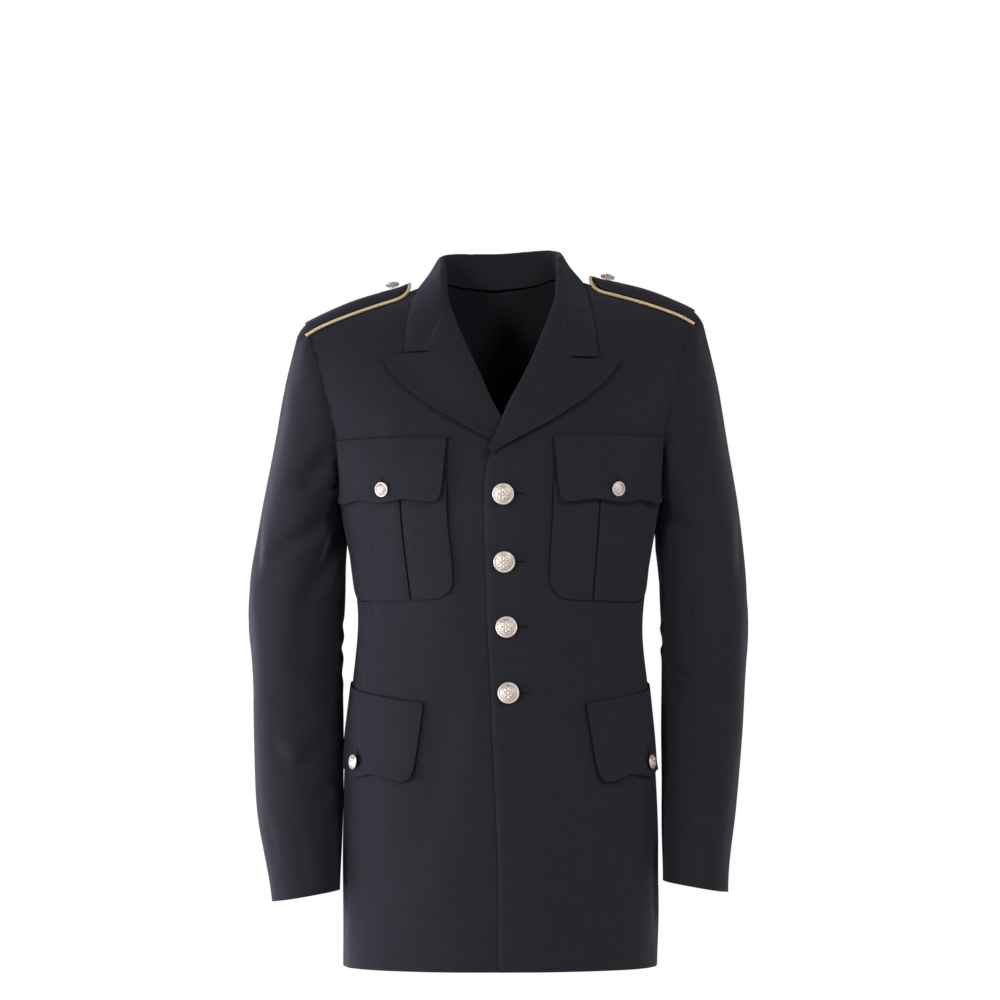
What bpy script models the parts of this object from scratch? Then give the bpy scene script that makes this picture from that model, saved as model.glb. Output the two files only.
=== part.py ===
"""A military dress tunic, worn and hollow: four-button front, peaked lapels and flapped pockets.

The origin is where the wearer's shoulders hold the coat, at the middle of the neck. The front
faces -Y, the wearer's left is +X and +Z is up. Lengths are in metres and angles in degrees.
Every piece of cloth is a wall: a grid of points worked out from sizes, moved along its normals
by the cloth's thickness. Both sides are worked out as the wearer's left and then mirrored.
"""
import math

import bpy

# ---------------------------------------------------------------- driving dimensions
SEAM = 0.0003                # clearance between two pieces that are sewn together
BODY_CLOTH = 0.0020          # wool with its canvas
TRIM_CLOTH = 0.0018          # flaps, pockets and shoulder loops
FOLD_CLOTH = 0.0020          # collar and lapels

HEM_Z = -0.745
CHEST_Z = -0.215             # below it the body is upright, above it rounds in to the shoulders
SIDE_FRONT_TURN = 72.0       # seam between a front and its side panel, from centre front
SIDE_BACK_TURN = 118.0       # seam between a side panel and its back
ARMPIT_DROP = 0.037          # how far the armhole dips below the chest level
RIDGE_NECK_Y = 0.030         # the shoulder seam's place, front to back, at the middle
RIDGE_TIP_Y = 0.010          # and at the shoulder's tip
SHOULDER_TIP_X = 0.2165
SQUARE_FRONT = 2.40          # squareness of the body's section, 2 is an ellipse
SQUARE_BACK = 2.20
ROUND_FRONT = 1.45           # how roundly the shoulders turn in, 1 is straight and 2 a circle
ROUND_BACK = 2.00

# Body sections: height, half the width, depth in front of the middle, depth behind it
SECTIONS = (
    (-0.760, 0.1718, 0.1375, 0.1290),
    (-0.661, 0.1722, 0.1365, 0.1290),
    (-0.580, 0.1718, 0.1345, 0.1265),
    (-0.514, 0.1695, 0.1310, 0.1215),
    (-0.448, 0.1635, 0.1250, 0.1120),
    (-0.373, 0.1560, 0.1210, 0.1040),
    (-0.339, 0.1595, 0.1235, 0.1065),
    (-0.292, 0.1675, 0.1305, 0.1150),
    (-0.250, 0.1760, 0.1370, 0.1235),
    (-0.215, 0.1830, 0.1400, 0.1285),
    (-0.170, 0.2010, 0.1410, 0.1300),
    (-0.130, 0.2170, 0.1410, 0.1290),
    (-0.090, 0.2320, 0.1410, 0.1270),
    (-0.050, 0.2560, 0.1410, 0.1250),
    (0.060, 0.2900, 0.1410, 0.1250),
)

# Shoulder line: distance from the middle, height
SHOULDER = (
    (0.000, 0.0240),
    (0.060, 0.0140),
    (0.088, 0.0020),
    (0.130, -0.0085),
    (0.180, -0.0225),
    (0.205, -0.0310),
    (0.220, -0.0385),
    (0.260, -0.0640),
)

# Armhole edge, front and back: height, distance from the middle
ARMHOLE_FRONT = (
    (-0.2150, 0.1755),
    (-0.1950, 0.1765),
    (-0.1700, 0.1795),
    (-0.1450, 0.1845),
    (-0.1200, 0.1905),
    (-0.0900, 0.1980),
    (-0.0560, 0.2090),
    (-0.0340, 0.2165),
)
ARMHOLE_BACK = (
    (-0.2150, 0.1668),
    (-0.1900, 0.1760),
    (-0.1500, 0.1865),
    (-0.1000, 0.1980),
    (-0.0600, 0.2085),
    (-0.0340, 0.2165),
)

# Stance: height, rise for each metre towards the wearer's left, twist about the upright axis
STANCE = (
    (-0.740, 0.000, 3.0),
    (-0.450, 0.000, 2.4),
    (-0.360, 0.000, 1.2),
    (-0.260, 0.002, 0.0),
    (-0.180, 0.010, 0.0),
    (-0.060, 0.030, 0.0),
    (0.060, 0.044, 0.0),
)

# Grid rows, shared by pieces that meet so that their edges match
HEM_ROWS = 17                # heights between the hem and the chest level
FRONT_TIPS = (-90.0, -82.0, -73.0, -63.0, -53.0, -43.0, -32.0, -21.0, -10.0, -0.4)
BACK_TIPS = (90.0, 77.0, 64.0, 51.0, 38.5, 26.0, 13.0, 0.4)
SIDE_COLUMNS = 4

# For measuring how a surface lies: a step across it in metres and one round it in degrees
PLACE_STEP = 0.002
TURN_STEP = 0.5
CLOTH_SHARP = 35.0           # edges sharper than this look sharp, in degrees
BUTTON_SHARP = 50.0


# ---------------------------------------------------------------- curves
class Curve:
    """A smooth curve through a table's rows that never overshoots them."""

    def __init__(self, rows, value=1):
        rows = sorted(rows)
        self.keys = [row[0] for row in rows]
        self.values = [row[value] for row in rows]
        rises = [(self.values[i + 1] - self.values[i]) / (self.keys[i + 1] - self.keys[i])
                 for i in range(len(rows) - 1)]
        self.slopes = [rises[0]]
        for before, after in zip(rises, rises[1:]):
            level = before * after <= 0
            self.slopes.append(0.0 if level else 2 * before * after / (before + after))
        self.slopes.append(rises[-1])

    def __call__(self, at):
        if at <= self.keys[0]:
            return self.values[0]
        if at >= self.keys[-1]:
            return self.values[-1]
        i = max(k for k in range(len(self.keys) - 1) if self.keys[k] <= at)
        span = self.keys[i + 1] - self.keys[i]
        t = (at - self.keys[i]) / span
        s = 1 - t
        start = self.values[i] * (1 + 2 * t) * s * s + self.slopes[i] * span * t * s * s
        end = self.values[i + 1] * (3 - 2 * t) * t * t - self.slopes[i + 1] * span * t * t * s
        return start + end


half_width = Curve(SECTIONS, 1)
front_depth = Curve(SECTIONS, 2)
back_depth = Curve(SECTIONS, 3)
shoulder_z = Curve(SHOULDER)
armhole_front = Curve(ARMHOLE_FRONT)
armhole_back = Curve(ARMHOLE_BACK)
lean = Curve(STANCE, 1)
twist = Curve(STANCE, 2)


# ---------------------------------------------------------------- points and vectors
def mix(a, b, t):
    return a + (b - a) * t


def along(a, b, t):
    return tuple(mix(p, q, t) for p, q in zip(a, b))


def add(a, b, scale=1.0):
    return tuple(p + q * scale for p, q in zip(a, b))


def minus(a, b):
    return tuple(p - q for p, q in zip(a, b))


def dot(a, b):
    return sum(p * q for p, q in zip(a, b))


def cross(a, b):
    return (a[1] * b[2] - a[2] * b[1], a[2] * b[0] - a[0] * b[2], a[0] * b[1] - a[1] * b[0])


def length(a):
    return math.sqrt(dot(a, a))


def unit(a):
    size = length(a)
    return tuple(p / size for p in a)


def ease(t):
    """0 to 1 with soft ends."""
    t = min(max(t, 0.0), 1.0)
    return t * t * (3 - 2 * t)


def spread(start, end, steps):
    return [mix(start, end, i / steps) for i in range(steps + 1)]


def signed_power(value, power):
    return math.copysign(abs(value) ** power, value)


# ---------------------------------------------------------------- the body's outer face
def ridge_y(x):
    return mix(RIDGE_NECK_Y, RIDGE_TIP_Y, min(abs(x) / SHOULDER_TIP_X, 1.0))


def body(turn, z):
    """Outer face by turn from centre front (0) to centre back (180) and by height."""
    front = turn < 90
    square = SQUARE_FRONT if front else SQUARE_BACK
    depth = -front_depth(z) if front else back_depth(z)
    x = half_width(z) * signed_power(math.sin(math.radians(turn)), 2 / square)
    y = depth * abs(math.cos(math.radians(turn))) ** (2 / square)
    top = shoulder_z(abs(x))
    fall = min(max((top - z) / (top - CHEST_Z), 0.0), 1.0)
    roundness = ROUND_FRONT if front else ROUND_BACK
    share = (1 - (1 - fall) ** roundness) ** (1 / roundness)
    return (x, mix(ridge_y(x), y, share), z)


def yoke(x, tip):
    """Upper outer face by distance from the middle and tip: -90 chest, 0 ridge, 90 back."""
    front = tip < 0
    roundness = ROUND_FRONT if front else ROUND_BACK
    square = SQUARE_FRONT if front else SQUARE_BACK
    angle = math.radians(abs(tip))
    z = mix(CHEST_Z, shoulder_z(abs(x)), max(math.cos(angle), 0.0) ** (2 / roundness))
    depth = -front_depth(z) if front else back_depth(z)
    y = depth * max(1 - abs(x / half_width(z)) ** square, 0.0) ** (1 / square)
    return (x, mix(ridge_y(x), y, math.sin(angle) ** (2 / roundness)), z)


def turn_at(x, z):
    """The turn at which the front of the body's section reaches x at a height."""
    return math.degrees(math.asin(signed_power(x / half_width(z), SQUARE_FRONT / 2)))


def tip_at(x, z, behind=False):
    """The yoke's tip at which it passes a height, at x."""
    roundness = ROUND_BACK if behind else ROUND_FRONT
    share = min(max((z - CHEST_Z) / (shoulder_z(abs(x)) - CHEST_Z), 0.0), 1.0)
    angle = math.degrees(math.acos(share ** (roundness / 2)))
    return angle if behind else -angle


def face_normal(surface, u, v, step_u, step_v):
    """Outward normal of surface(u, v), measured on small steps."""
    across = minus(surface(u + step_u, v), surface(u - step_u, v))
    up = minus(surface(u, v + step_v), surface(u, v - step_v))
    return unit(cross(across, up))


def body_normal(turn, z):
    return face_normal(body, turn, z, TURN_STEP, PLACE_STEP)


def yoke_normal(x, tip):
    """Outward normal of the yoke; the tip is kept off the ridge, where it is upright."""
    if abs(tip) < 1.0:
        slope = (shoulder_z(abs(x) + PLACE_STEP) - shoulder_z(abs(x) - PLACE_STEP)) / (2 * PLACE_STEP)
        return unit((-slope * math.copysign(1.0, x), 0.0, 1.0))
    return face_normal(yoke, x, tip, PLACE_STEP, TURN_STEP)


def chest(x, z):
    """A front's outer face and its normal, by distance from the middle and height."""
    if z > CHEST_Z:
        tip = tip_at(x, z)
        return yoke(x, tip), yoke_normal(x, tip)
    turn = turn_at(x, z)
    return body(turn, z), body_normal(turn, z)


class Girth:
    """Turns by the distance measured round the body's front from its centre, at a height."""

    def __init__(self, z):
        turns = [float(turn) for turn in range(0, 180)]
        points = [body(turn, z) for turn in turns]
        total = [0.0]
        for before, after in zip(points, points[1:]):
            total.append(total[-1] + length(minus(after, before)))
        self.turn = Curve(list(zip(total, turns)))
        self.distance = Curve(list(zip(turns, total)))
        self.z = z

    def place(self, distance, rise):
        """The point this far round, raised off the cloth."""
        turn = self.turn(distance)
        return add(body(turn, self.z), body_normal(turn, self.z), rise)


# ---------------------------------------------------------------- making solids
def posed(point, side, body_part=True):
    """A point worked out on the wearer's left, put on its side and given the stance."""
    x, y, z = point
    x *= side
    if body_part:
        angle = math.radians(twist(z))
        x, y = x * math.cos(angle) - y * math.sin(angle), x * math.sin(angle) + y * math.cos(angle)
    return (x, y, z + lean(z) * x)


def material(name, colour, roughness, metallic=0.0):
    made = bpy.data.materials.new(name)
    made.use_nodes = True
    shader = made.node_tree.nodes["Principled BSDF"]
    shader.inputs["Base Color"].default_value = (*colour, 1.0)
    shader.inputs["Roughness"].default_value = roughness
    shader.inputs["Metallic"].default_value = metallic
    return made


CLOTH_LOOK = ((0.020, 0.021, 0.030), 0.85, 0.0)
BRAID_LOOK = ((0.72, 0.48, 0.16), 0.45, 0.3)
BUTTON_LOOK = ((0.80, 0.66, 0.47), 0.30, 1.0)


def solid(name, points, faces, look, smooth_angle=CLOTH_SHARP):
    """A named object with its own material from points and outward faces."""
    mesh = bpy.data.meshes.new(name)
    mesh.from_pydata(points, [], faces)
    mesh.validate()
    mesh.shade_smooth()
    mesh.set_sharp_from_angle(angle=math.radians(smooth_angle))
    made = bpy.data.objects.new(name, mesh)
    made.data.materials.append(material(name + "_surface", *look))
    bpy.context.collection.objects.link(made)
    return made


def grid_normals(grid):
    """Normals at a grid's points, from their neighbours along the rows and columns."""
    rows, columns = len(grid), len(grid[0])
    normals = []
    for i in range(rows):
        normals.append([])
        for j in range(columns):
            up = minus(grid[min(i + 1, rows - 1)][j], grid[max(i - 1, 0)][j])
            across = minus(grid[i][min(j + 1, columns - 1)], grid[i][max(j - 1, 0)])
            normals[i].append(unit(cross(across, up)))
    return normals


def flipped(face):
    """A face turned over that keeps its first corner, and with it its split into triangles."""
    return (face[0], *reversed(face[1:]))


def wall(name, grid, side, out=0.0, into=BODY_CLOTH, normals=None, body_part=True, bare=None):
    """A wall of cloth on a grid whose rows go up and whose columns go anticlockwise from above.

    out and into are how far its two faces lie from the grid, along the normals; bare is a
    second grid for the inner face where the outer one is raised.
    """
    rows, columns = len(grid), len(grid[0])
    if normals is None:
        normals = grid_normals(bare or grid)
    outer = [add(grid[i][j], normals[i][j], out) for i in range(rows) for j in range(columns)]
    under = bare or grid
    inner = [add(under[i][j], normals[i][j], -into) for i in range(rows) for j in range(columns)]
    points = [posed(point, side, body_part) for point in outer + inner]
    back = rows * columns

    def at(i, j):
        return i * columns + j

    faces = []
    for i in range(rows - 1):
        for j in range(columns - 1):
            corners = (at(i, j), at(i, j + 1), at(i + 1, j + 1), at(i + 1, j))
            faces.append(corners)
            faces.append(flipped([back + corner for corner in corners]))
    rim = [at(0, j) for j in range(columns)]
    rim += [at(i, columns - 1) for i in range(1, rows)]
    rim += [at(rows - 1, j) for j in range(columns - 2, -1, -1)]
    rim += [at(i, 0) for i in range(rows - 2, 0, -1)]
    for corner, after in zip(rim, rim[1:] + rim[:1]):
        faces.append((corner, back + corner, back + after, after))
    if side < 0:
        faces = [flipped(face) for face in faces]
    return solid(name, points, faces, CLOTH_LOOK)


def turned(name, base, axis, profile, steps, look):
    """A closed turned solid on a base point: profile rows are (radius, height) from the back."""
    sideways = unit(cross(axis, (0.0, 0.0, 1.0)))
    upward = cross(sideways, axis)
    points = [add(base, axis, profile[0][1])]
    for radius, height in profile[1:-1]:
        for k in range(steps):
            angle = math.tau * k / steps
            spoke = add(tuple(p * math.cos(angle) for p in sideways), upward, math.sin(angle))
            points.append(add(add(base, axis, height), spoke, radius))
    points.append(add(base, axis, profile[-1][1]))
    rings = len(profile) - 2
    faces = []
    for k in range(steps):
        after = (k + 1) % steps
        faces.append((0, 1 + k, 1 + after))
        for ring in range(rings - 1):
            low = 1 + ring * steps
            high = low + steps
            faces.append((low + k, high + k, high + after, low + after))
        last = 1 + (rings - 1) * steps
        faces.append((last + k, len(points) - 1, last + after))
    return solid(name, points, faces, look, BUTTON_SHARP)


# ---------------------------------------------------------------- fronts, sides and backs
EDGE_GAP = 0.0019            # from a front's edge to the lapel or collar that folds over it
ROLL_TUCK = 0.0036           # a front's edge lies this far behind its lapel's rolled fold
TUCK_SPAN = 0.015            # the height over which the edge moves behind the roll
BREAK_Z = -0.203             # where the lapel starts
ROLL_TOP_Z = -0.030          # where the lapel's roll passes into the collar's fold

# Inner edge of each front: height, distance past the middle. Above the break it is the roll.
LEFT_EDGE = (
    (-0.7600, -0.0090),
    (-0.6470, -0.0087),
    (-0.5250, -0.0127),
    (-0.4430, -0.0152),
    (-0.3640, -0.0169),
    (-0.2260, -0.0169),
    (-0.2030, -0.0142),
    (-0.1860, -0.0060),
    (-0.1613, 0.0027),
    (-0.1454, 0.0091),
    (-0.1184, 0.0228),
    (-0.0867, 0.0368),
    (-0.0626, 0.0464),
    (-0.0352, 0.0559),
    (-0.0133, 0.0617),
    (0.0100, 0.0650),
)
RIGHT_EDGE = (
    (-0.7600, -0.0240),
    (-0.2200, -0.0235),
    (-0.2000, -0.0200),
    (-0.1850, -0.0140),
    (-0.1720, -0.0075),
    (-0.1611, -0.0027),
    (-0.1432, 0.0076),
    (-0.1204, 0.0168),
    (-0.1015, 0.0253),
    (-0.0754, 0.0369),
    (-0.0458, 0.0480),
    (-0.0205, 0.0560),
    (0.0000, 0.0610),
    (0.0100, 0.0630),
)
# How far the left front is raised to lie over the right: height, rise at the middle
OVERLAP = (
    (-0.2500, 0.0030),
    (-0.2050, 0.0056),
    (-0.1550, 0.0056),
    (-0.1200, 0.0000),
)
OVERLAP_FULL_X = 0.015
OVERLAP_END_X = 0.060
NECK_X = 0.0710              # the neckline at the shoulder seam
NECK_BACK_DEPTH = 0.0400     # the neckline's depth behind the shoulder seam
FRONT_COLUMNS = 9
BACK_COLUMNS = 8
NECK_COLUMNS = 4             # of a back's columns, those that end on the neckline
BACK_SEAM_SHARE = 1.6        # the middle seam's half gap in turns, against the side seams'
BACK_COLUMN_BEND = 1.5       # how late a back's columns turn towards the neckline

SEAM_TURN = math.degrees(SEAM / 2 / half_width(CHEST_Z))     # half a seam's gap as a turn
edge_x = {1: Curve(LEFT_EDGE), -1: Curve(RIGHT_EDGE)}
overlap_rise = Curve(OVERLAP)


def front_rise(side, x, z):
    """How far a front lies above the body's face."""
    if side < 0:
        return 0.0
    return overlap_rise(z) * ease((OVERLAP_END_X - x) / (OVERLAP_END_X - OVERLAP_FULL_X))


def front_inner_x(side, z):
    """A front's inner edge: its own edge below the break, tucked behind the roll above it."""
    return edge_x[side](z) + ROLL_TUCK * ease((z - BREAK_Z) / TUCK_SPAN + 1)


SETTLE_START = 0.1
SETTLE_ROUNDS = 12


def settle(edge, tip):
    """The x at which an edge, given by height, crosses the yoke's row at a tip."""
    x = SETTLE_START
    for _ in range(SETTLE_ROUNDS):
        x = edge(yoke(x, tip)[2])
    return x


def front_grid(side):
    """A front's grid: rows up from the hem, then tips over the chest to the shoulder."""
    grid, normals = [], []
    outer_turn = SIDE_FRONT_TURN - SEAM_TURN
    for z in spread(HEM_Z, CHEST_Z, HEM_ROWS):
        turns = spread(turn_at(front_inner_x(side, z), z), outer_turn, FRONT_COLUMNS)
        grid.append([body(turn, z) for turn in turns])
        normals.append([body_normal(turn, z) for turn in turns])
    chest_x = [point[0] for point in grid[-1]]
    shares = [(x - chest_x[0]) / (chest_x[-1] - chest_x[0]) for x in chest_x]
    for tip in FRONT_TIPS[1:]:
        neck = min(settle(lambda z: front_inner_x(side, z), tip), NECK_X)
        if tip == FRONT_TIPS[-1]:
            neck = NECK_X
        shoulder = settle(armhole_front, tip)
        xs = [mix(neck, shoulder, share) for share in shares]
        grid.append([yoke(x, tip) for x in xs])
        normals.append([yoke_normal(x, tip) for x in xs])
    for row, row_normals in zip(grid, normals):
        for j, (point, normal) in enumerate(zip(row, row_normals)):
            row[j] = add(point, normal, front_rise(side, point[0], point[2]))
    return grid, normals


def neckline_back(angle):
    """The neckline behind the shoulder seam (0) to the middle of the back (90), on the yoke."""
    x = NECK_X * math.cos(math.radians(angle))
    depth = NECK_BACK_DEPTH * math.sin(math.radians(angle))
    share = depth / (back_depth(0.0) - ridge_y(x))
    return (x, max(math.degrees(math.asin(share)), BACK_TIPS[-1]))


def back_grid():
    """A back's grid, its columns from the side seam to the middle seam."""
    grid, normals = [], []
    turns = spread(SIDE_BACK_TURN + SEAM_TURN, 180 - SEAM_TURN * BACK_SEAM_SHARE, BACK_COLUMNS)
    for z in spread(HEM_Z, CHEST_Z, HEM_ROWS):
        grid.append([body(turn, z) for turn in turns])
        normals.append([body_normal(turn, z) for turn in turns])
    shares = [point[0] / grid[-1][0][0] for point in grid[-1]]
    shoulder_tip = BACK_TIPS[-1]
    shoulder = settle(armhole_back, shoulder_tip)
    top = [(x, shoulder_tip) for x in spread(shoulder, NECK_X, BACK_COLUMNS - NECK_COLUMNS)]
    for angle in spread(0.0, 90.0, NECK_COLUMNS)[1:]:
        top.append(neckline_back(angle))
    top_shares = [x / shoulder for x, _ in top]
    for tip in BACK_TIPS[1:]:
        level = (90.0 - tip) / (90.0 - shoulder_tip)
        row = []
        for (_, end_tip), low, high in zip(top, shares, top_shares):
            share = mix(low, high, level ** BACK_COLUMN_BEND)
            x = max(settle(armhole_back, tip) * share, SEAM / 2)
            row.append((x, mix(90.0, end_tip, level)))
        grid.append([yoke(*place) for place in row])
        normals.append([yoke_normal(*place) for place in row])
    return grid, normals


def side_top(turn):
    """Height of a side panel's top, the underarm part of the armhole."""
    share = (turn - SIDE_FRONT_TURN) / (SIDE_BACK_TURN - SIDE_FRONT_TURN)
    return CHEST_Z - ARMPIT_DROP * math.sin(math.pi * min(max(share, 0.0), 1.0))


def side_grid():
    """A side panel's grid from its front seam to its back seam."""
    turns = spread(SIDE_FRONT_TURN + SEAM_TURN, SIDE_BACK_TURN - SEAM_TURN, SIDE_COLUMNS)
    grid, normals = [], []
    for step in spread(0.0, 1.0, HEM_ROWS):
        heights = [mix(HEM_Z, side_top(turn), step) for turn in turns]
        grid.append([body(turn, z) for turn, z in zip(turns, heights)])
        normals.append([body_normal(turn, z) for turn, z in zip(turns, heights)])
    return grid, normals


# ---------------------------------------------------------------- sleeves
ARM_SEAM_STEP = 0.0005       # the sleeve starts this far outside the armhole
CROWN_RINGS = 8
CROWN_END_Z = -0.290
CUFF_Z = {1: -0.659, -1: -0.669}
CUFF_SLANT = 0.17            # the cuff's outer edge hangs lower
ARM_RINGS = 14
UNDER_HALF = 3               # the under sleeve's columns on each side of the armpit
ARM_SQUARE = 0.92            # the arm's section, 1 is an ellipse and less is squarer
SLANT_START_Z = -0.45        # the rings start to slant here and are full this far below
SLANT_SPAN = 0.20
FOLD_RADIUS = 0.060          # the arm's radius in measuring across its folds

# Arms: height, inner edge, outer edge on the wearer's left and right, middle, half the depth
ARM = (
    (-0.290, 0.1735, 0.2665, 0.2680, 0.003, 0.0760),
    (-0.335, 0.1735, 0.2705, 0.2750, 0.006, 0.0700),
    (-0.375, 0.1755, 0.2712, 0.2745, 0.008, 0.0665),
    (-0.415, 0.1765, 0.2705, 0.2722, 0.007, 0.0640),
    (-0.497, 0.1760, 0.2650, 0.2690, -0.003, 0.0600),
    (-0.560, 0.1752, 0.2575, 0.2652, -0.014, 0.0570),
    (-0.629, 0.1750, 0.2478, 0.2525, -0.028, 0.0540),
    (-0.680, 0.1745, 0.2455, 0.2440, -0.036, 0.0525),
)
# Largest folds, as troughs in the sleeve: side, angle and height at both ends, half the width,
# depth. Angles go round the arm: 0 outside, 90 in front, 180 at the body, 270 behind.
ARM_FOLDS = (
    (-1, 158.0, -0.225, 55.0, -0.350, 0.024, 0.0042),
    (-1, 168.0, -0.318, 96.0, -0.400, 0.022, 0.0030),
    (-1, 70.0, -0.450, 150.0, -0.425, 0.021, 0.0026),
    (-1, 205.0, -0.240, 300.0, -0.345, 0.024, 0.0038),
    (-1, 250.0, -0.400, 325.0, -0.455, 0.022, 0.0028),
    (1, 160.0, -0.230, 70.0, -0.335, 0.024, 0.0040),
    (1, 166.0, -0.335, 88.0, -0.420, 0.023, 0.0030),
    (1, 62.0, -0.480, 140.0, -0.450, 0.021, 0.0024),
    (1, 208.0, -0.235, 290.0, -0.350, 0.024, 0.0038),
    (1, 240.0, -0.410, 318.0, -0.470, 0.022, 0.0028),
)
arm_inner = Curve(ARM, 1)
arm_outer = {1: Curve(ARM, 2), -1: Curve(ARM, 3)}
arm_middle = Curve(ARM, 4)
arm_depth = Curve(ARM, 5)


def armhole_loop():
    """The armhole's corners, from the shoulder down its front, under the arm and up its back."""
    loop = [yoke(settle(armhole_front, tip), tip) for tip in reversed(FRONT_TIPS)]
    turns = spread(SIDE_FRONT_TURN, SIDE_BACK_TURN, SIDE_COLUMNS)
    loop += [body(turn, side_top(turn)) for turn in turns[1:]]
    loop += [yoke(settle(armhole_back, tip), tip) for tip in BACK_TIPS[1:-1]]
    return loop


def loop_angles(loop):
    """Each corner's angle round the arm: 0 at the shoulder, 180 under the arm."""
    total = [0.0]
    for before, after in zip(loop, loop[1:] + loop[:1]):
        total.append(total[-1] + length(minus(after, before)))
    under = total[len(FRONT_TIPS) - 1 + SIDE_COLUMNS // 2]
    angles = []
    for distance in total[:-1]:
        if distance <= under:
            angles.append(180 * distance / under)
        else:
            angles.append(180 + 180 * (distance - under) / (total[-1] - under))
    return angles


def arm_point(side, angle, z):
    """A point of the arm's ring at a height."""
    inner, outer = arm_inner(z), arm_outer[side](z)
    middle_x, half = (inner + outer) / 2, (outer - inner) / 2
    a = math.radians(angle)
    x = middle_x + half * signed_power(math.cos(a), ARM_SQUARE)
    y = arm_middle(z) - arm_depth(z) * signed_power(math.sin(a), ARM_SQUARE)
    slant = CUFF_SLANT * ease((SLANT_START_Z - z) / SLANT_SPAN)
    return (x, y, z - slant * (x - middle_x))


def arm_fold(side, angle, z):
    """How deep the sleeve's folds are at a place on it."""
    depth = 0.0
    for fold_side, angle_a, z_a, angle_b, z_b, half_wide, deep in ARM_FOLDS:
        if fold_side != side:
            continue
        start = (math.radians(angle_a) * FOLD_RADIUS, z_a, 0.0)
        run = minus((math.radians(angle_b) * FOLD_RADIUS, z_b, 0.0), start)
        offset = minus((math.radians(angle) * FOLD_RADIUS, z, 0.0), start)
        share = min(max(dot(offset, run) / dot(run, run), 0.0), 1.0)
        aside = length(add(offset, run, -share))
        depth += deep * ease(1 - aside / half_wide)
    return depth


# The crown leaves the armhole along these directions, as (outwards, forwards, upwards)
CROWN_LEAVE = (0.75, 0.0, -0.45)
CROWN_LEAVE_TOP = (0.25, 0.0, 0.30)
CROWN_LEAVE_FRONT = (0.0, -0.50, 0.0)
CROWN_PULL_LOW = 0.42        # how far it keeps each direction, against its whole reach
CROWN_PULL_TOP = 0.17
CROWN_PULL_END = 0.90
CROWN_CROWDING = 1.25        # its rings stand closer at the armhole


def crown_path(side, start, angle, t):
    """From the armhole over the crown to the first ring of the arm."""
    a = math.radians(angle)
    end = arm_point(side, angle, CROWN_END_Z)
    below = arm_point(side, angle, CROWN_END_Z - 0.02)
    reach = length(minus(end, start))
    pull = mix(CROWN_PULL_LOW, CROWN_PULL_TOP, (1 + math.cos(a)) / 2)
    leave = add(add(CROWN_LEAVE, CROWN_LEAVE_TOP, math.cos(a)), CROWN_LEAVE_FRONT, math.sin(a))
    leave = tuple(p * reach * pull for p in unit(leave))
    arrive = tuple(p * reach * CROWN_PULL_END for p in unit(minus(below, end)))
    turn_end = ease(t)
    turn_leave = t * (1 - t) ** 2
    turn_arrive = t ** 2 * (t - 1)
    point = add(along(start, end, turn_end), leave, turn_leave)
    return add(point, arrive, turn_arrive)


def sleeve_grid(side):
    """Rings from the cuff up to the armhole, with their normals."""
    loop = armhole_loop()
    angles = loop_angles(loop)
    starts = [add(point, (ARM_SEAM_STEP, 0.0, 0.0)) for point in loop]
    rings = []
    for t in spread(0.0, 1.0, CROWN_RINGS):
        at = t ** CROWN_CROWDING
        rings.append([crown_path(side, p, a, at) for p, a in zip(starts, angles)])
    for z in spread(CROWN_END_Z, CUFF_Z[side], ARM_RINGS)[1:]:
        rings.append([arm_point(side, angle, z) for angle in angles])
    rings.reverse()
    count = len(loop)
    normals = []
    for i, ring in enumerate(rings):
        normals.append([])
        for j in range(count):
            up = minus(rings[min(i + 1, len(rings) - 1)][j], rings[max(i - 1, 0)][j])
            across = minus(ring[(j - 1) % count], ring[(j + 1) % count])
            normals[i].append(unit(cross(across, up)))
    middle = tuple(sum(point[k] for point in loop) / count for k in range(3))
    for j, point in enumerate(loop):
        outward = minus(point, middle)
        normals[-1][j] = unit((0.0, outward[1], outward[2]))
    for ring, ring_normals in zip(rings[:-1], normals):
        for j, angle in enumerate(angles):
            ring[j] = add(ring[j], ring_normals[j], -arm_fold(side, angle, ring[j][2]))
    return rings, normals


def seam_split(rings, normals, first, last):
    """The columns from first to last of closed rings, drawn in by half a seam at both ends."""
    count = len(rings[0])
    order = [(first + k) % count for k in range((last - first) % count + 1)]
    order.reverse()
    grid, grid_norm = [], []
    for ring, ring_normals in zip(rings, normals):
        row = [ring[j] for j in order]
        for end, near in ((0, 1), (-1, -2)):
            gap = length(minus(row[near], row[end]))
            row[end] = along(row[end], row[near], min(SEAM / 2 / gap, 0.4))
        grid.append(row)
        grid_norm.append([ring_normals[j] for j in order])
    return grid, grid_norm


# ---------------------------------------------------------------- lapels and collar
FOLD_COLUMNS = 4             # columns of the rolled edge, before those that lie on the chest
LAPEL_SHARES = (0.0, 0.12, 0.26, 0.40, 0.55, 0.70, 0.85, 1.0)
LAPEL_ROWS = 10

# Lapel and collar ends on each side, as (distance from the middle, height)
POINTS = {
    1: {
        "notch": (0.0730, -0.0958),
        "collar_corner": (0.1055, -0.0957),
        "peak": (0.1262, -0.0985),
        "peak_blunt": (0.1257, -0.1063),
        "lower": ((0.1165, -0.1177), (0.0896, -0.1406), (0.0467, -0.1693), (0.0032, -0.1940)),
        "lowest": (-0.0090, -0.2010),
        "roll_low_z": -0.1960,
    },
    -1: {
        "notch": (0.0737, -0.0852),
        "collar_corner": (0.1025, -0.0839),
        "peak": (0.1256, -0.0866),
        "peak_blunt": (0.1229, -0.0935),
        "lower": ((0.1168, -0.1049), (0.0930, -0.1305), (0.0596, -0.1555), (0.0212, -0.1784)),
        "lowest": (0.0005, -0.1900),
        "roll_low_z": -0.1720,
    },
}
NOTCH_SHARE = 0.55           # the notch's place along the gorge, roll to peak
GORGE_GAP = 0.0007
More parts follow.
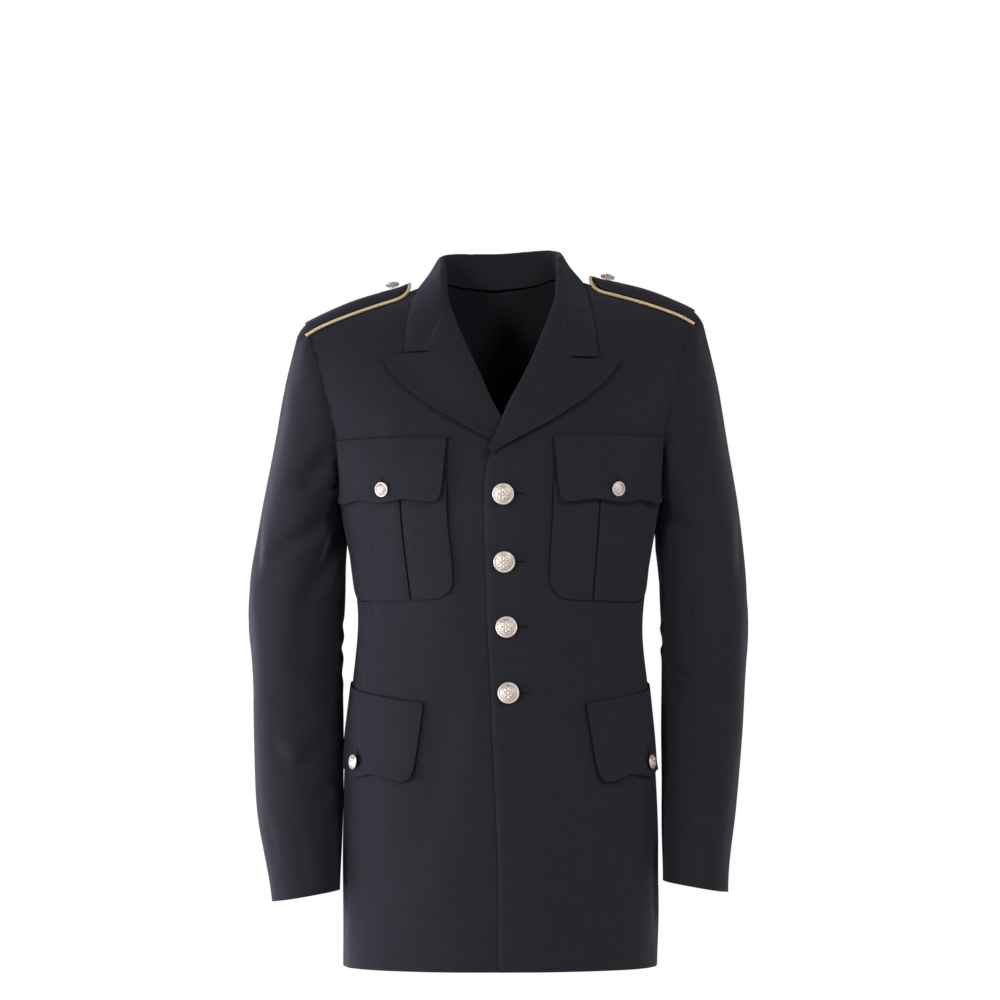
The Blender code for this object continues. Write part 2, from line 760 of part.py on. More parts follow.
LAPEL_LIFT = 0.0024          # middle of the lapel's wall above the front at its outer edge
LAPEL_PUFF = 0.0024          # how much more it stands off near the roll
LAPEL_FLAT = 0.0014          # its lift where the other front lies over it
PUFF_DIP = 0.35              # the puff's loss at the roll itself, and how far in it reaches
PUFF_DIP_SHARE = 1 / 6
COVERED_Z = -0.150           # below it the right lapel lies under the left front
COVERED_SPAN = 0.040
BLUNT_SHARE = 0.10           # of the lapel's length, the part that ends in the blunt peak
FIRST_SHARE = 0.05           # the top layer's first column, of the way to the outer edge

# The rolled edge past the seat: share of the rise, how far it lies towards the middle
ROLL_EDGE = (
    (0.10, 0.0021),
    (0.42, ROLL_TUCK - 0.0009),
    (0.80, ROLL_TUCK - 0.0012),
)


def chain(points, share):
    """The point at a share of the way along straight pieces between points."""
    sizes = [length(minus(b, a)) for a, b in zip(points, points[1:])]
    left = share * sum(sizes)
    for size, a, b in zip(sizes, points, points[1:]):
        if left <= size:
            return along(a, b, left / size)
        left -= size
    return points[-1]


def gorge(side, t):
    """From the roll's top down the gorge to the notch, then out to the peak."""
    marks = POINTS[side]
    if t < NOTCH_SHARE:
        start = (front_inner_x(side, ROLL_TOP_Z) - 2 * GORGE_GAP, ROLL_TOP_Z - GORGE_GAP)
        return along(start, marks["notch"], t / NOTCH_SHARE)
    return along(marks["notch"], marks["peak"], (t - NOTCH_SHARE) / (1 - NOTCH_SHARE))


def lapel_outline(side, u, v):
    """Place on the chest: u from the roll to the outer edge, v from the break to the gorge."""
    marks = POINTS[side]
    roll_z = mix(marks["roll_low_z"], ROLL_TOP_Z, v)
    roll = (edge_x[side](roll_z), roll_z)
    outer_points = (marks["lowest"],) + tuple(reversed(marks["lower"])) + (marks["peak_blunt"],)
    outer = chain(outer_points, v)
    roll_top = (edge_x[side](ROLL_TOP_Z), ROLL_TOP_Z)
    top = gorge(side, u)
    straight_top = along(roll_top, marks["peak_blunt"], u)
    bend = minus(top, straight_top)
    end = minus(marks["peak"], marks["peak_blunt"])
    bend = add(bend, end, -u)
    blunt = ease(1 - (1 - v) / BLUNT_SHARE)
    point = add(along(roll, outer, u), bend, v ** 1.5)
    return add(point, end, u * blunt)


def lapel_lift(side, u, roll_z):
    """Height of the lapel's middle layer above its front."""
    swell = LAPEL_PUFF * (1 - ease(u)) * (1 - PUFF_DIP * ease(1 - u / PUFF_DIP_SHARE))
    full = LAPEL_LIFT + swell
    if side > 0:
        return full
    return mix(LAPEL_FLAT, full, ease((roll_z - COVERED_Z) / COVERED_SPAN))


def fold_points(seat, up, out, lift):
    """The rolled edge: from the front's edge round to the top layer."""
    rise = lift + FOLD_CLOTH / 2
    points = [add(seat, out, -EDGE_GAP)]
    for share, inwards in ROLL_EDGE:
        points.append(add(add(seat, up, share * rise), out, -inwards))
    return points


ROLL_STEP = 0.004            # for measuring how the roll runs


def lapel_grid(side):
    """A lapel's middle layer: rows up from the break, columns from the front's edge outwards."""
    marks = POINTS[side]
    grid = []
    for v in spread(0.0, 1.0, LAPEL_ROWS):
        roll_z = mix(marks["roll_low_z"], ROLL_TOP_Z - GORGE_GAP, v)
        edge = (front_inner_x(side, roll_z), roll_z)
        slope = (edge_x[side](roll_z + ROLL_STEP) - edge_x[side](roll_z - ROLL_STEP)) / (2 * ROLL_STEP)
        face, normal = chest(*edge)
        rise = front_rise(side, *edge)
        seat = add(face, normal, rise - FOLD_CLOTH / 2)
        ahead, _ = chest(edge[0] + ROLL_STEP, edge[1] - ROLL_STEP * slope)
        out = minus(ahead, face)
        out = unit(add(out, normal, -dot(out, normal)))
        row = fold_points(seat, normal, out, lapel_lift(side, 0.0, roll_z))
        for u in LAPEL_SHARES:
            x, z = lapel_outline(side, max(u, FIRST_SHARE), v)
            face, normal = chest(x, z)
            rise = front_rise(side, x, z) + lapel_lift(side, u, roll_z)
            row.append(add(face, normal, rise))
        grid.append(row)
    return grid


def folded_normals(grid, ends):
    """Normals of a folded piece, square to the chest along the rows that meet at the gorge."""
    normals = grid_normals(grid)
    for end, beside in ends:
        for j, point in enumerate(grid[end]):
            if j < FOLD_COLUMNS:
                normals[end][j] = normals[beside][j]
            else:
                _, normal = chest(abs(point[0]), point[2])
                normals[end][j] = (math.copysign(normal[0], point[0]), normal[1], normal[2])
    return normals


# The collar by stations from the middle of the back to the gorge. Columns: 1 behind the shoulder
# and -1 in front of it, neck, fold line's offset from the neck, knee, edge. Neck, knee and edge
# are places on the yoke (distance, height). In front of the shoulder the neck follows the
# front's own edge, and its distance isn't used. The last station, the gorge, is worked out.
COLLAR = (
    (1, (0.0000, 0.0035), (0.000, -0.004, 0.0400), (0.0000, -0.0010), (0.0000, -0.0060)),
    (1, (0.0300, 0.0045), (-0.003, -0.0045, 0.0390), (0.0350, -0.0005), (0.0390, -0.0060)),
    (1, (0.0520, 0.0075), (-0.0055, -0.004, 0.0345), (0.0600, 0.0010), (0.0660, -0.0055)),
    (1, (0.0665, 0.0105), (-0.0070, -0.002, 0.0290), (0.0760, 0.0055), (0.0840, 0.0010)),
    (0, (0.0710, 0.0110), (-0.0075, 0.000, 0.0250), (0.0810, 0.0070), (0.0905, 0.0030)),
    (-1, (0.0, 0.0030), (-0.0055, -0.001, 0.0200), (0.0830, -0.0020), (0.0945, -0.0090)),
    (-1, (0.0, -0.0080), (-0.0035, -0.002, 0.0110), (0.0825, -0.0200), (0.0990, -0.0300)),
    (-1, (0.0, -0.0190), (-0.0025, -0.003, 0.0050), (0.0790, -0.0460), (0.1030, -0.0620)),
)
GORGE_FOLD = (-0.0014, -0.0040, 0.0010)
COLLAR_SHARES = (0.05, 0.18, 0.36, 0.55, 0.78, 1.0)
COLLAR_ROWS = 12             # from the middle of the back to each gorge
FALL_BEND = 1.25             # how fast the fall comes down from the fold line
FALL_PUFF = 0.0030           # how far it stands out just below the fold line

# The stand up to the fold line: share of its height, how far it lies towards the neck
STAND = (
    (0.40, 0.0004),
    (0.80, 0.0010),
)
FOLD_TOP = (0.0008, 0.0004)  # the fold line's own point, above and outside its offset


def collar_stations(side):
    """The collar's table with the gorge as its last row, each value a flat list."""
    marks = POINTS[side]
    notch_x, notch_z = marks["notch"]
    corner_x, corner_z = marks["collar_corner"]
    last = (-1, (0.0, ROLL_TOP_Z + 2 * GORGE_GAP), GORGE_FOLD,
            (notch_x + GORGE_GAP, notch_z + GORGE_GAP), (corner_x, corner_z + GORGE_GAP))
    rows = []
    for behind, *places in COLLAR + (last,):
        neck, fold, knee, edge = places
        if behind < 0:
            neck = (front_inner_x(side, neck[1]), neck[1])
        tips = []
        for x, z in (neck, knee, edge):
            tips.append(0.0 if behind == 0 else tip_at(x, z, behind > 0))
        rows.append([neck[0], tips[0], *fold, knee[0], tips[1], edge[0], tips[2]])
    return rows


def collar_row(side, values):
    """One station's points, from the seam at the neck over the fold to the outer edge."""
    neck_x, neck_tip, *fold = values[:5]
    knee_x, knee_tip, edge_x_, edge_tip = values[5:]
    neck = yoke(neck_x, neck_tip)
    normal = yoke_normal(neck_x, neck_tip)
    offset = tuple(fold)
    up = unit(offset)
    out = minus(yoke(edge_x_, edge_tip), neck)
    out = unit(add(out, up, -dot(out, up)))
    seat = add(add(neck, normal, -FOLD_CLOTH / 2), out, -EDGE_GAP - FOLD_CLOTH / 2)
    tall = add(neck, offset)
    row = [seat] + [add(along(seat, tall, share), out, -inwards) for share, inwards in STAND]
    row.append(add(add(tall, up, FOLD_TOP[0]), out, FOLD_TOP[1]))
    for share in COLLAR_SHARES:
        if share <= NOTCH_SHARE:
            part = share / NOTCH_SHARE
            x, tip = mix(neck_x, knee_x, part), mix(neck_tip, knee_tip, part)
        else:
            part = (share - NOTCH_SHARE) / (1 - NOTCH_SHARE)
            x, tip = mix(knee_x, edge_x_, part), mix(knee_tip, edge_tip, part)
        point = add(yoke(x, tip), yoke_normal(x, tip), LAPEL_LIFT)
        point = add(point, offset, (1 - share) ** FALL_BEND)
        row.append(add(point, out, FALL_PUFF * (1 - share) ** 3))
    return row


def collar_half(side):
    """Rows from the middle of the back to the gorge."""
    stations = collar_stations(side)
    count = len(stations) - 1
    columns = [Curve([(k / count, station[c]) for k, station in enumerate(stations)])
               for c in range(len(stations[0]))]
    rows = []
    for at in spread(0.0, 1.0, COLLAR_ROWS):
        rows.append(collar_row(side, [column(at) for column in columns]))
    return rows


def collar_grid():
    """The whole collar: rows run from the wearer's right gorge, round the back, to the left."""
    left = collar_half(1)
    right = [[(-x, y, z) for x, y, z in row] for row in collar_half(-1)]
    return list(reversed(right[1:])) + left


# ---------------------------------------------------------------- pockets, flaps and loops
PANEL_REST = 0.0013          # clearance under a piece that lies on a panel
POCKET_TOP_Z = -0.2280
POCKET_BOTTOM_Z = -0.3530
POCKET_CORNER = 0.022
POCKET_CORNER_ANGLES = (0.0, 22.5, 45.0, 67.5)
PLEAT_WIDTH = 0.038
PLEAT_RAISE = 0.0014
PLEAT_STEP = 0.0010          # the pleat rises over this width
POCKET_ROWS = 7              # above its round corners
FLAP_ROWS = 5
FLAP_SEAM_SHARE = 0.55       # of the flap's height, the part that comes down to its seam
FLAP_OVER_POCKET = 0.0054    # a breast flap's inner face lies this far above its front

# Breast pocket edges round the body: height, inner edge, outer edge, pleat's middle
POCKET = (
    (-0.3600, 0.0500, 0.1930, 0.1180),
    (-0.3150, 0.0520, 0.1960, 0.1220),
    (-0.2500, 0.0570, 0.1970, 0.1275),
    (-0.2200, 0.0570, 0.1970, 0.1285),
)
# Flap's lower edge: share of its width, how far above its lowest point
FLAP_WAVE = (
    (0.000, 0.0045),
    (0.070, 0.0000),
    (0.280, 0.0055),
    (0.420, 0.0015),
    (0.500, 0.0000),
    (0.580, 0.0015),
    (0.720, 0.0055),
    (0.930, 0.0000),
    (1.000, 0.0045),
)
FLAP_SHARES = (0.0, 0.05, 0.16, 0.28, 0.39, 0.50, 0.61, 0.72, 0.84, 0.95, 1.0)
# Edges round the body, and how far the flap rises for each metre away from the front
BREAST_FLAP = {"top": -0.1810, "low": -0.2515, "inner_top": 0.0560, "inner_low": 0.0620,
               "outer_top": 0.1900, "outer_low": 0.1940, "top_slope": 0.020, "low_slope": 0.020,
               "rise": FLAP_OVER_POCKET, "button": 0.1255, "button_z": -0.2347}
LOWER_FLAP = {"top": -0.4635, "low": -0.5500, "inner_top": 0.0870, "inner_low": 0.0990,
              "outer_top": 0.2530, "outer_low": 0.2570, "top_slope": 0.155, "low_slope": 0.090,
              "rise": PANEL_REST, "button": 0.1780, "button_z": -0.5255}
FLAP_WAVE_DEEPER = 1.6       # the lower flaps' waves against the breast flaps'

flap_wave = Curve(FLAP_WAVE)
pocket_inner = Curve(POCKET, 1)
pocket_outer = Curve(POCKET, 2)
pocket_middle = Curve(POCKET, 3)


def pocket_grids():
    """A breast pocket's raised outer grid and the plain grid under it."""
    raised, plain = [], []
    half = PLEAT_WIDTH / 2
    rows = []
    for angle in POCKET_CORNER_ANGLES:
        rise = POCKET_CORNER * (1 - math.cos(math.radians(angle)))
        rows.append((POCKET_BOTTOM_Z + rise, POCKET_CORNER * (1 - math.sin(math.radians(angle)))))
    rows += [(z, 0.0) for z in spread(POCKET_BOTTOM_Z + POCKET_CORNER, POCKET_TOP_Z, POCKET_ROWS)]
    for z, cut in rows:
        girth = Girth(z)
        inner = pocket_inner(z) + cut
        outer = pocket_outer(z) - cut
        middle = pocket_middle(z)
        near, far = middle - half, middle + half
        stops = [inner, mix(inner, near, 0.5), near - PLEAT_STEP, near, middle,
                 far, far + PLEAT_STEP, mix(far, outer, 0.5), outer]
        heights = [0, 0, 0, 1, 1, 1, 0, 0, 0]
        base = PANEL_REST + TRIM_CLOTH
        raised.append([girth.place(s, base + PLEAT_RAISE * h) for s, h in zip(stops, heights)])
        plain.append([girth.place(s, base) for s in stops])
    return raised, plain


def flap_grid(sizes, deeper=1.0):
    """A flap's outer grid, rows from its wavy lower edge up to its seam."""
    grid = []
    for level in spread(0.0, 1.0, FLAP_ROWS):
        row = []
        for share in FLAP_SHARES:
            inner = mix(sizes["inner_low"], sizes["inner_top"], level)
            outer = mix(sizes["outer_low"], sizes["outer_top"], level)
            away = share * (outer - inner)
            low = sizes["low"] + sizes["low_slope"] * away + flap_wave(share) * deeper
            z = mix(low, sizes["top"] + sizes["top_slope"] * away, level)
            near_seam = ease(1 - (1 - level) / FLAP_SEAM_SHARE)
            seam_drop = (sizes["rise"] - PANEL_REST) * near_seam
            rise = sizes["rise"] - seam_drop + TRIM_CLOTH
            row.append(Girth(z).place(mix(inner, outer, share), rise))
        grid.append(row)
    return grid


LOOP_SLEEVE_X = 0.2135       # the shoulder loop's sewn end
LOOP_NECK_X = 0.1010         # its round end
LOOP_HALF_SLEEVE = 0.0270
LOOP_HALF_NECK = 0.0200
LOOP_REST = 0.0022           # the loop bridges the shoulder seam
LOOP_FORWARD = 0.0050        # its middle lies this far in front of the shoulder seam
LOOP_ROUND = 0.0190
LOOP_CREST = 0.0065          # it arches this high over the shoulder
LOOP_CREST_X = 0.1500        # from here to its round end
LOOP_CREST_SHARE = 0.65      # of its width, from the front edge to the arch's top
LOOP_BACK_SHARE = 0.30       # of the arch that is left at its back edge
LOOP_ROUND_ANGLES = (12, 30, 50, 70, 90)
LOOP_ROWS = (-1.0, -0.55, 0.0, 0.55, 1.0)
LOOP_COLUMNS = 6             # along its straight part
PIPING_STEPS = 7
PIPING_RADIUS = 0.0014
PIPING_LIFT = 0.0004         # the cord lies a little off the shoulder
PIPING_OUT = 0.0012          # and stands this much further out round the loop's end
PIPING_ANGLES = (72, 54, 36, 18)
SADDLE_REACH = 80            # tips that a saddle covers, in front and behind
RIDGE_BLEND = 8.0            # tips over which the normal turns across the ridge


class Saddle:
    """Places across the shoulder by their distance from its ridge, negative to the front."""

    def __init__(self, x):
        tips = range(-SADDLE_REACH, SADDLE_REACH + 1, 2)
        points = [yoke(x, tip) for tip in tips]
        total = [0.0]
        for before, after in zip(points, points[1:]):
            total.append(total[-1] + length(minus(after, before)))
        middle = total[len(tips) // 2]
        self.tip = Curve([(distance - middle, tip) for distance, tip in zip(total, tips)])
        self.x = x

    def place(self, distance, rise):
        tip = self.tip(distance)
        if abs(tip) < RIDGE_BLEND:
            before = yoke_normal(self.x, -RIDGE_BLEND)
            after = yoke_normal(self.x, RIDGE_BLEND)
            normal = unit(along(before, after, (tip + RIDGE_BLEND) / (2 * RIDGE_BLEND)))
        else:
            normal = yoke_normal(self.x, tip)
        return add(yoke(self.x, tip), normal, rise)


def loop_straight(x):
    """Half the width of a shoulder loop at x, before its end is rounded."""
    return mix(LOOP_HALF_NECK, LOOP_HALF_SLEEVE, (x - LOOP_NECK_X) / (LOOP_SLEEVE_X - LOOP_NECK_X))


def loop_half(x):
    """Half the width of a shoulder loop at x, round at its neck end."""
    near = max(LOOP_ROUND - (x - LOOP_NECK_X), 0.0) / LOOP_ROUND
    return loop_straight(x) * math.sqrt(max(1 - near ** 2, 0.0))


def loop_arch(x, aside):
    """How far a shoulder loop arches off the shoulder, by x and distance behind its middle."""
    behind = min(max((aside / loop_straight(x) + 1) / 2, 0.0), 1.0)
    along = ease((LOOP_SLEEVE_X - x) / (LOOP_SLEEVE_X - LOOP_CREST_X))
    if behind < LOOP_CREST_SHARE:
        return LOOP_CREST * along * ease(behind / LOOP_CREST_SHARE)
    past = (behind - LOOP_CREST_SHARE) / (1 - LOOP_CREST_SHARE)
    return LOOP_CREST * along * (1 - (1 - LOOP_BACK_SHARE) * ease(past))


def loop_face(saddle, aside):
    """A point of a shoulder loop's outer face, by distance behind its middle."""
    rise = LOOP_REST + TRIM_CLOTH + loop_arch(saddle.x, aside)
    return saddle.place(-LOOP_FORWARD + aside, rise)


def loop_grid():
    """A shoulder loop's outer grid, rows from the front edge to the back one."""
    rounds = [1 - math.cos(math.radians(angle)) for angle in LOOP_ROUND_ANGLES]
    xs = [LOOP_NECK_X + LOOP_ROUND * share for share in rounds]
    xs += spread(xs[-1], LOOP_SLEEVE_X, LOOP_COLUMNS)[1:]
    saddles = [Saddle(x) for x in xs]
    grid = []
    for across in LOOP_ROWS:
        grid.append([loop_face(saddle, across * loop_half(saddle.x)) for saddle in saddles])
    return grid


def piping_path():
    """The cord's middle line round a shoulder loop's edge, front sleeve end to back."""
    away = 3 * SEAM + PIPING_RADIUS
    rise = SEAM + PIPING_RADIUS + PIPING_LIFT
    stops = []
    for x in spread(LOOP_SLEEVE_X - PANEL_REST, LOOP_NECK_X + LOOP_ROUND, PIPING_STEPS):
        stops.append((x, loop_half(x) + away))
    for angle in PIPING_ANGLES:
        a = math.radians(angle)
        x = LOOP_NECK_X + LOOP_ROUND - (LOOP_ROUND + away) * math.cos(a)
        stops.append((x, (LOOP_HALF_NECK + PIPING_OUT + away) * math.sin(a)))

    def place(x, aside):
        return Saddle(x).place(-LOOP_FORWARD + aside, rise + loop_arch(x, aside))

    front = [place(x, -half) for x, half in stops]
    back = [place(x, half) for x, half in stops]
    return front + [place(LOOP_NECK_X - away, 0.0)] + list(reversed(back))


def piping(name, side):
    """A cord along the path as a bevelled poly curve with filled ends, made into a mesh."""
    path = [posed(point, side) for point in piping_path()]
    curve = bpy.data.curves.new(name, "CURVE")
    curve.dimensions = "3D"
    curve.bevel_depth = PIPING_RADIUS
    curve.bevel_resolution = 1
    curve.use_fill_caps = True
    line = curve.splines.new("POLY")
    line.points.add(len(path) - 1)
    for stop, point in zip(line.points, path):
        stop.co = (*point, 1.0)
    made = bpy.data.objects.new(name, curve)
    made.data.materials.append(material(name + "_surface", *BRAID_LOOK))
    bpy.context.collection.objects.link(made)
    return made


# ---------------------------------------------------------------- buttons
FRONT_BUTTON_RADIUS = 0.01145
SMALL_BUTTON_RADIUS = 0.00795
FRONT_BUTTON_STEPS = 16
SMALL_BUTTON_STEPS = 12
FRONT_BUTTON_X = 0.0033
FRONT_BUTTON_HEIGHTS = (-0.2420, -0.3131, -0.3829, -0.4529)
LOOP_BUTTON_X = 0.1170


# Shank, rim and dome as shares of the button's radius: radius, height
BUTTON_PROFILE = (
    (0.00, 0.00),
    (0.34, 0.00),
    (0.34, 0.15),
    (0.93, 0.22),
    (1.00, 0.32),
    (0.90, 0.46),
    (0.52, 0.66),
    (0.00, 0.72),
)


def button(name, side, point, normal, radius, steps):
    """A domed shank button standing on a cloth face."""
    base = posed(add(point, normal, SEAM), side)
    tail = posed(add(point, normal, radius), side)
    profile = [(share * radius, rise * radius) for share, rise in BUTTON_PROFILE]
    return turned(name, base, unit(minus(tail, base)), profile, steps, BUTTON_LOOK)


# ---------------------------------------------------------------- the whole tunic
def side_name(side):
    return "left" if side > 0 else "right"


def make_body(side):
    suffix = side_name(side)
    grid, normals = front_grid(side)
    wall("front_" + suffix, grid, side, normals=normals)
    grid, normals = side_grid()
    wall("side_" + suffix, grid, side, normals=normals)
    grid, normals = back_grid()
    wall("back_" + suffix, grid, side, normals=normals)


def make_sleeve(side):
    suffix = side_name(side)
    rings, normals = sleeve_grid(side)
    armpit = len(FRONT_TIPS) - 1 + SIDE_COLUMNS // 2
    first, last = armpit - UNDER_HALF, armpit + UNDER_HALF
    grid, grid_norm = seam_split(rings, normals, last, first)
    wall("sleeve_top_" + suffix, grid, side, normals=grid_norm, body_part=False)
    grid, grid_norm = seam_split(rings, normals, first, last)
    wall("sleeve_under_" + suffix, grid, side, normals=grid_norm, body_part=False)


def make_trim(side):
    suffix = side_name(side)
    half = FOLD_CLOTH / 2
    grid = lapel_grid(side)
    wall("lapel_" + suffix, grid, side, half, half, folded_normals(grid, [(-1, -2)]))
    raised, plain = pocket_grids()
    wall("pocket_" + suffix, raised, side, 0.0, TRIM_CLOTH, bare=plain)
    wall("flap_breast_" + suffix, flap_grid(BREAST_FLAP), side, 0.0, TRIM_CLOTH)
    wall("flap_lower_" + suffix, flap_grid(LOWER_FLAP, FLAP_WAVE_DEEPER), side, 0.0, TRIM_CLOTH)
    wall("loop_" + suffix, loop_grid(), side, 0.0, TRIM_CLOTH)
    piping("piping_" + suffix, side)


def flap_button(name, side, flap):
    """A button on a flap, over the middle of its wave."""
    girth = Girth(flap["button_z"])
    face = girth.place(flap["button"], flap["rise"] + TRIM_CLOTH)
    normal = body_normal(girth.turn(flap["button"]), flap["button_z"])
    button(name, side, face, normal, SMALL_BUTTON_RADIUS, SMALL_BUTTON_STEPS)


def loop_seat():
    """Where a shoulder loop's button stands, and its face's normal there."""
    middle = Saddle(LOOP_BUTTON_X)
    back = minus(loop_face(middle, PLACE_STEP), loop_face(middle, -PLACE_STEP))
    out = minus(loop_face(Saddle(LOOP_BUTTON_X + PLACE_STEP), 0.0),
                loop_face(Saddle(LOOP_BUTTON_X - PLACE_STEP), 0.0))
    return loop_face(middle, 0.0), unit(cross(out, back))


def make_buttons():
    for number, z in enumerate(FRONT_BUTTON_HEIGHTS, 1):
        face, normal = chest(FRONT_BUTTON_X, z)
        face = add(face, normal, front_rise(1, FRONT_BUTTON_X, z))
        name = "button_front_%d" % number
        button(name, 1, face, normal, FRONT_BUTTON_RADIUS, FRONT_BUTTON_STEPS)
    for side in (1, -1):
        suffix = side_name(side)
        flap_button("button_breast_" + suffix, side, BREAST_FLAP)
        flap_button("button_lower_" + suffix, side, LOWER_FLAP)
        button("button_loop_" + suffix, side, *loop_seat(), SMALL_BUTTON_RADIUS, SMALL_BUTTON_STEPS)


def main():
    for old in list(bpy.data.objects):
        bpy.data.objects.remove(old, do_unlink=True)
    for side in (1, -1):
        make_body(side)
        make_sleeve(side)
        make_trim(side)
    half = FOLD_CLOTH / 2
    grid = collar_grid()
    wall("collar", grid, 1, half, half, folded_normals(grid, [(0, 1), (-1, -2)]))
    make_buttons()


main()
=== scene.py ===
"""Looks of a military dress tunic: wool, corded shoulder loops, relief buttons and stitches.

Every cloth piece is the fine surface of one solid of the frame, with its creases and rounded edges.
Metres, +Z up, the front faces -Y and the wearer's left is +X.
"""

import math

import bmesh
import bpy
import numpy as np
from mathutils import Matrix, Vector
from mathutils.bvhtree import BVHTree
from mathutils.kdtree import KDTree


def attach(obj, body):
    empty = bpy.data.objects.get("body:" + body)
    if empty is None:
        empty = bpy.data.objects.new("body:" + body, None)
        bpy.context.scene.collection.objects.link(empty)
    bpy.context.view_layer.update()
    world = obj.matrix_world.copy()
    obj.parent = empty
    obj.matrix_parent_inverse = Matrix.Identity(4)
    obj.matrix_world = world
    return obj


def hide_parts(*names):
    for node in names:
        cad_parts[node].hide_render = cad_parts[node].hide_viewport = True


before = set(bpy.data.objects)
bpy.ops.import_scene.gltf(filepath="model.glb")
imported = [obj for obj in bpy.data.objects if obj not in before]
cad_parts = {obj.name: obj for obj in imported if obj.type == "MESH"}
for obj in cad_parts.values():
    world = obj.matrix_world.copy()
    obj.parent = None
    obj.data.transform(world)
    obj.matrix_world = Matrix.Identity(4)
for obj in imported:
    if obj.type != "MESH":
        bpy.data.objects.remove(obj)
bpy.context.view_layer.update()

BODY = "root"
SIDES = {"left": 1.0, "right": -1.0}

# ---------------- sizes of the coat
MIDDLE = Vector((0.0, 0.005, -0.25))  # a point inside the coat, at the chest
BODY_RADIUS = 0.160  # for measuring round the body
ARM_RADIUS = 0.060  # and round an arm
MERGE_DISTANCE = 2e-5
TINY = 1e-9

# What each piece of cloth was cut to: width, length and flat area
CUTS = {
    "front_left": (0.226, 0.839, 0.1541),
    "front_right": (0.232, 0.839, 0.1605),
    "side": (0.143, 0.533, 0.0576),
    "back": (0.243, 0.794, 0.1383),
    "sleeve_top_left": (0.364, 0.640, 0.1275),
    "sleeve_top_right": (0.364, 0.652, 0.1308),
    "sleeve_under_left": (0.205, 0.496, 0.0563),
    "sleeve_under_right": (0.205, 0.506, 0.0578),
    "collar": (0.123, 0.517, 0.0314),
    "lapel_left": (0.142, 0.208, 0.0100),
    "lapel_right": (0.129, 0.180, 0.0099),
    "pocket": (0.149, 0.141, 0.0184),
    "flap_breast": (0.142, 0.073, 0.0097),
    "flap_lower": (0.175, 0.098, 0.0151),
    "loop": (0.133, 0.059, 0.0063),
}


# ---------------- materials
def socket_of(sockets, name):
    """A node's socket by its number, or the one in use that has the name."""
    if isinstance(name, int):
        return sockets[name]
    return next(socket for socket in sockets if socket.name == name and socket.enabled)


class Wire:
    """One output of a material's node; sums and products of wires add the nodes that work them out."""

    def __init__(self, look, socket):
        self.look = look
        self.socket = socket

    def maths(self, operation, *values):
        return self.look.add("ShaderNodeMath", {"operation": operation}, dict(enumerate(values)))

    def __add__(self, other):
        return self.maths("ADD", self, other)

    __radd__ = __add__

    def __sub__(self, other):
        return self.maths("SUBTRACT", self, other)

    def __rsub__(self, other):
        return self.maths("SUBTRACT", other, self)

    def __mul__(self, other):
        return self.maths("MULTIPLY", self, other)

    __rmul__ = __mul__

    def wave(self, pitch):
        """0 to 1 and back along the wire's own metres, once every pitch."""
        return self.maths("SINE", self * (2 * math.pi / pitch)) * 0.5 + 0.5


class Look:
    """A material. add() adds its nodes, and shade() sets or feeds the shader's own sockets."""

    def __init__(self, name, **sockets):
        self.material = bpy.data.materials.new(name)
        self.material.use_nodes = True
        self.tree = self.material.node_tree
        self.shader = self.tree.nodes["Principled BSDF"]
        self.shade(**sockets)

    def feed(self, socket, value):
        if isinstance(value, Wire):
            self.tree.links.new(value.socket, socket)
        else:
            socket.default_value = value

    def add(self, kind, settings=None, sockets=None, output=0):
        """A node of a kind: its settings first, then its sockets' values or wires."""
        node = self.tree.nodes.new(kind)
        for name, value in (settings or {}).items():
            setattr(node, name, value)
        for name, value in (sockets or {}).items():
            self.feed(socket_of(node.inputs, name), value)
        return Wire(self, socket_of(node.outputs, output))

    def shade(self, **sockets):
        for name, value in sockets.items():
            self.feed(self.shader.inputs[name.replace("_", " ")], value)

    def place(self):
        """The point in the coat's own metres."""
        return self.add("ShaderNodeTexCoord", output="Object")

    def threads(self, axis):
        """Metres on the piece's thread map: 0 round the limb or across, 1 up or along it."""
        thread_map = self.add("ShaderNodeUVMap", {"uv_map": "threads"})
        return self.add("ShaderNodeSeparateXYZ", {}, {"Vector": thread_map}, axis)

    def noise(self, size, detail=2.0, roughness=0.5):
        """Soft noise around 0.5 whose lumps measure about size metres."""
        sockets = {"Vector": self.place(), "Scale": 1.0 / size, "Detail": detail, "Roughness": roughness}
        return self.add("ShaderNodeTexNoise", {}, sockets)

    def mixed(self, share, first, second):
        """The first colour where share is 0, and the second where it is 1."""
        sockets = {"Factor": share, "A": (*first, 1.0), "B": (*second, 1.0)}
        return self.add("ShaderNodeMix", {"data_type": "RGBA"}, sockets, "Result")

    def bump(self, height, distance, strength=1.0):
        sockets = {"Height": height, "Distance": distance, "Strength": strength}
        return self.add("ShaderNodeBump", {}, sockets)


TWILL_PITCH, TWILL_SLOPE = 0.0011, 1.9  # from one diagonal rib of the wool to the next
FILAMENT_PITCH, FILAMENT_SLOPE = 0.00042, 2.2  # and from one filament of the cord to the next


def wool_look(name, dark, light, rough, sheen, gloss):
    """Fine midnight-blue twill: diagonal ribs, mottled dye, and a nap that lights up edge-on."""
    look = Look(name, Sheen_Weight=sheen, Sheen_Roughness=0.45, Sheen_Tint=(0.74, 0.72, 0.95, 1.0),
                Specular_IOR_Level=gloss)
    rib = (look.threads(0) + look.threads(1) * TWILL_SLOPE).wave(TWILL_PITCH)
    slub = look.noise(0.0016, 3.0, 0.65)
    dye = look.noise(0.011, 3.0, 0.60)
    tone = rib * 0.18 + slub * 0.75 + dye * 0.40 - 0.16
    look.shade(Base_Color=look.mixed(tone, dark, light),
               Roughness=rough - 0.12 * dye + 0.10 * slub,
               Normal=look.bump(rib * 0.5 + slub * 0.9, 0.00022, 0.55))
    return look.material


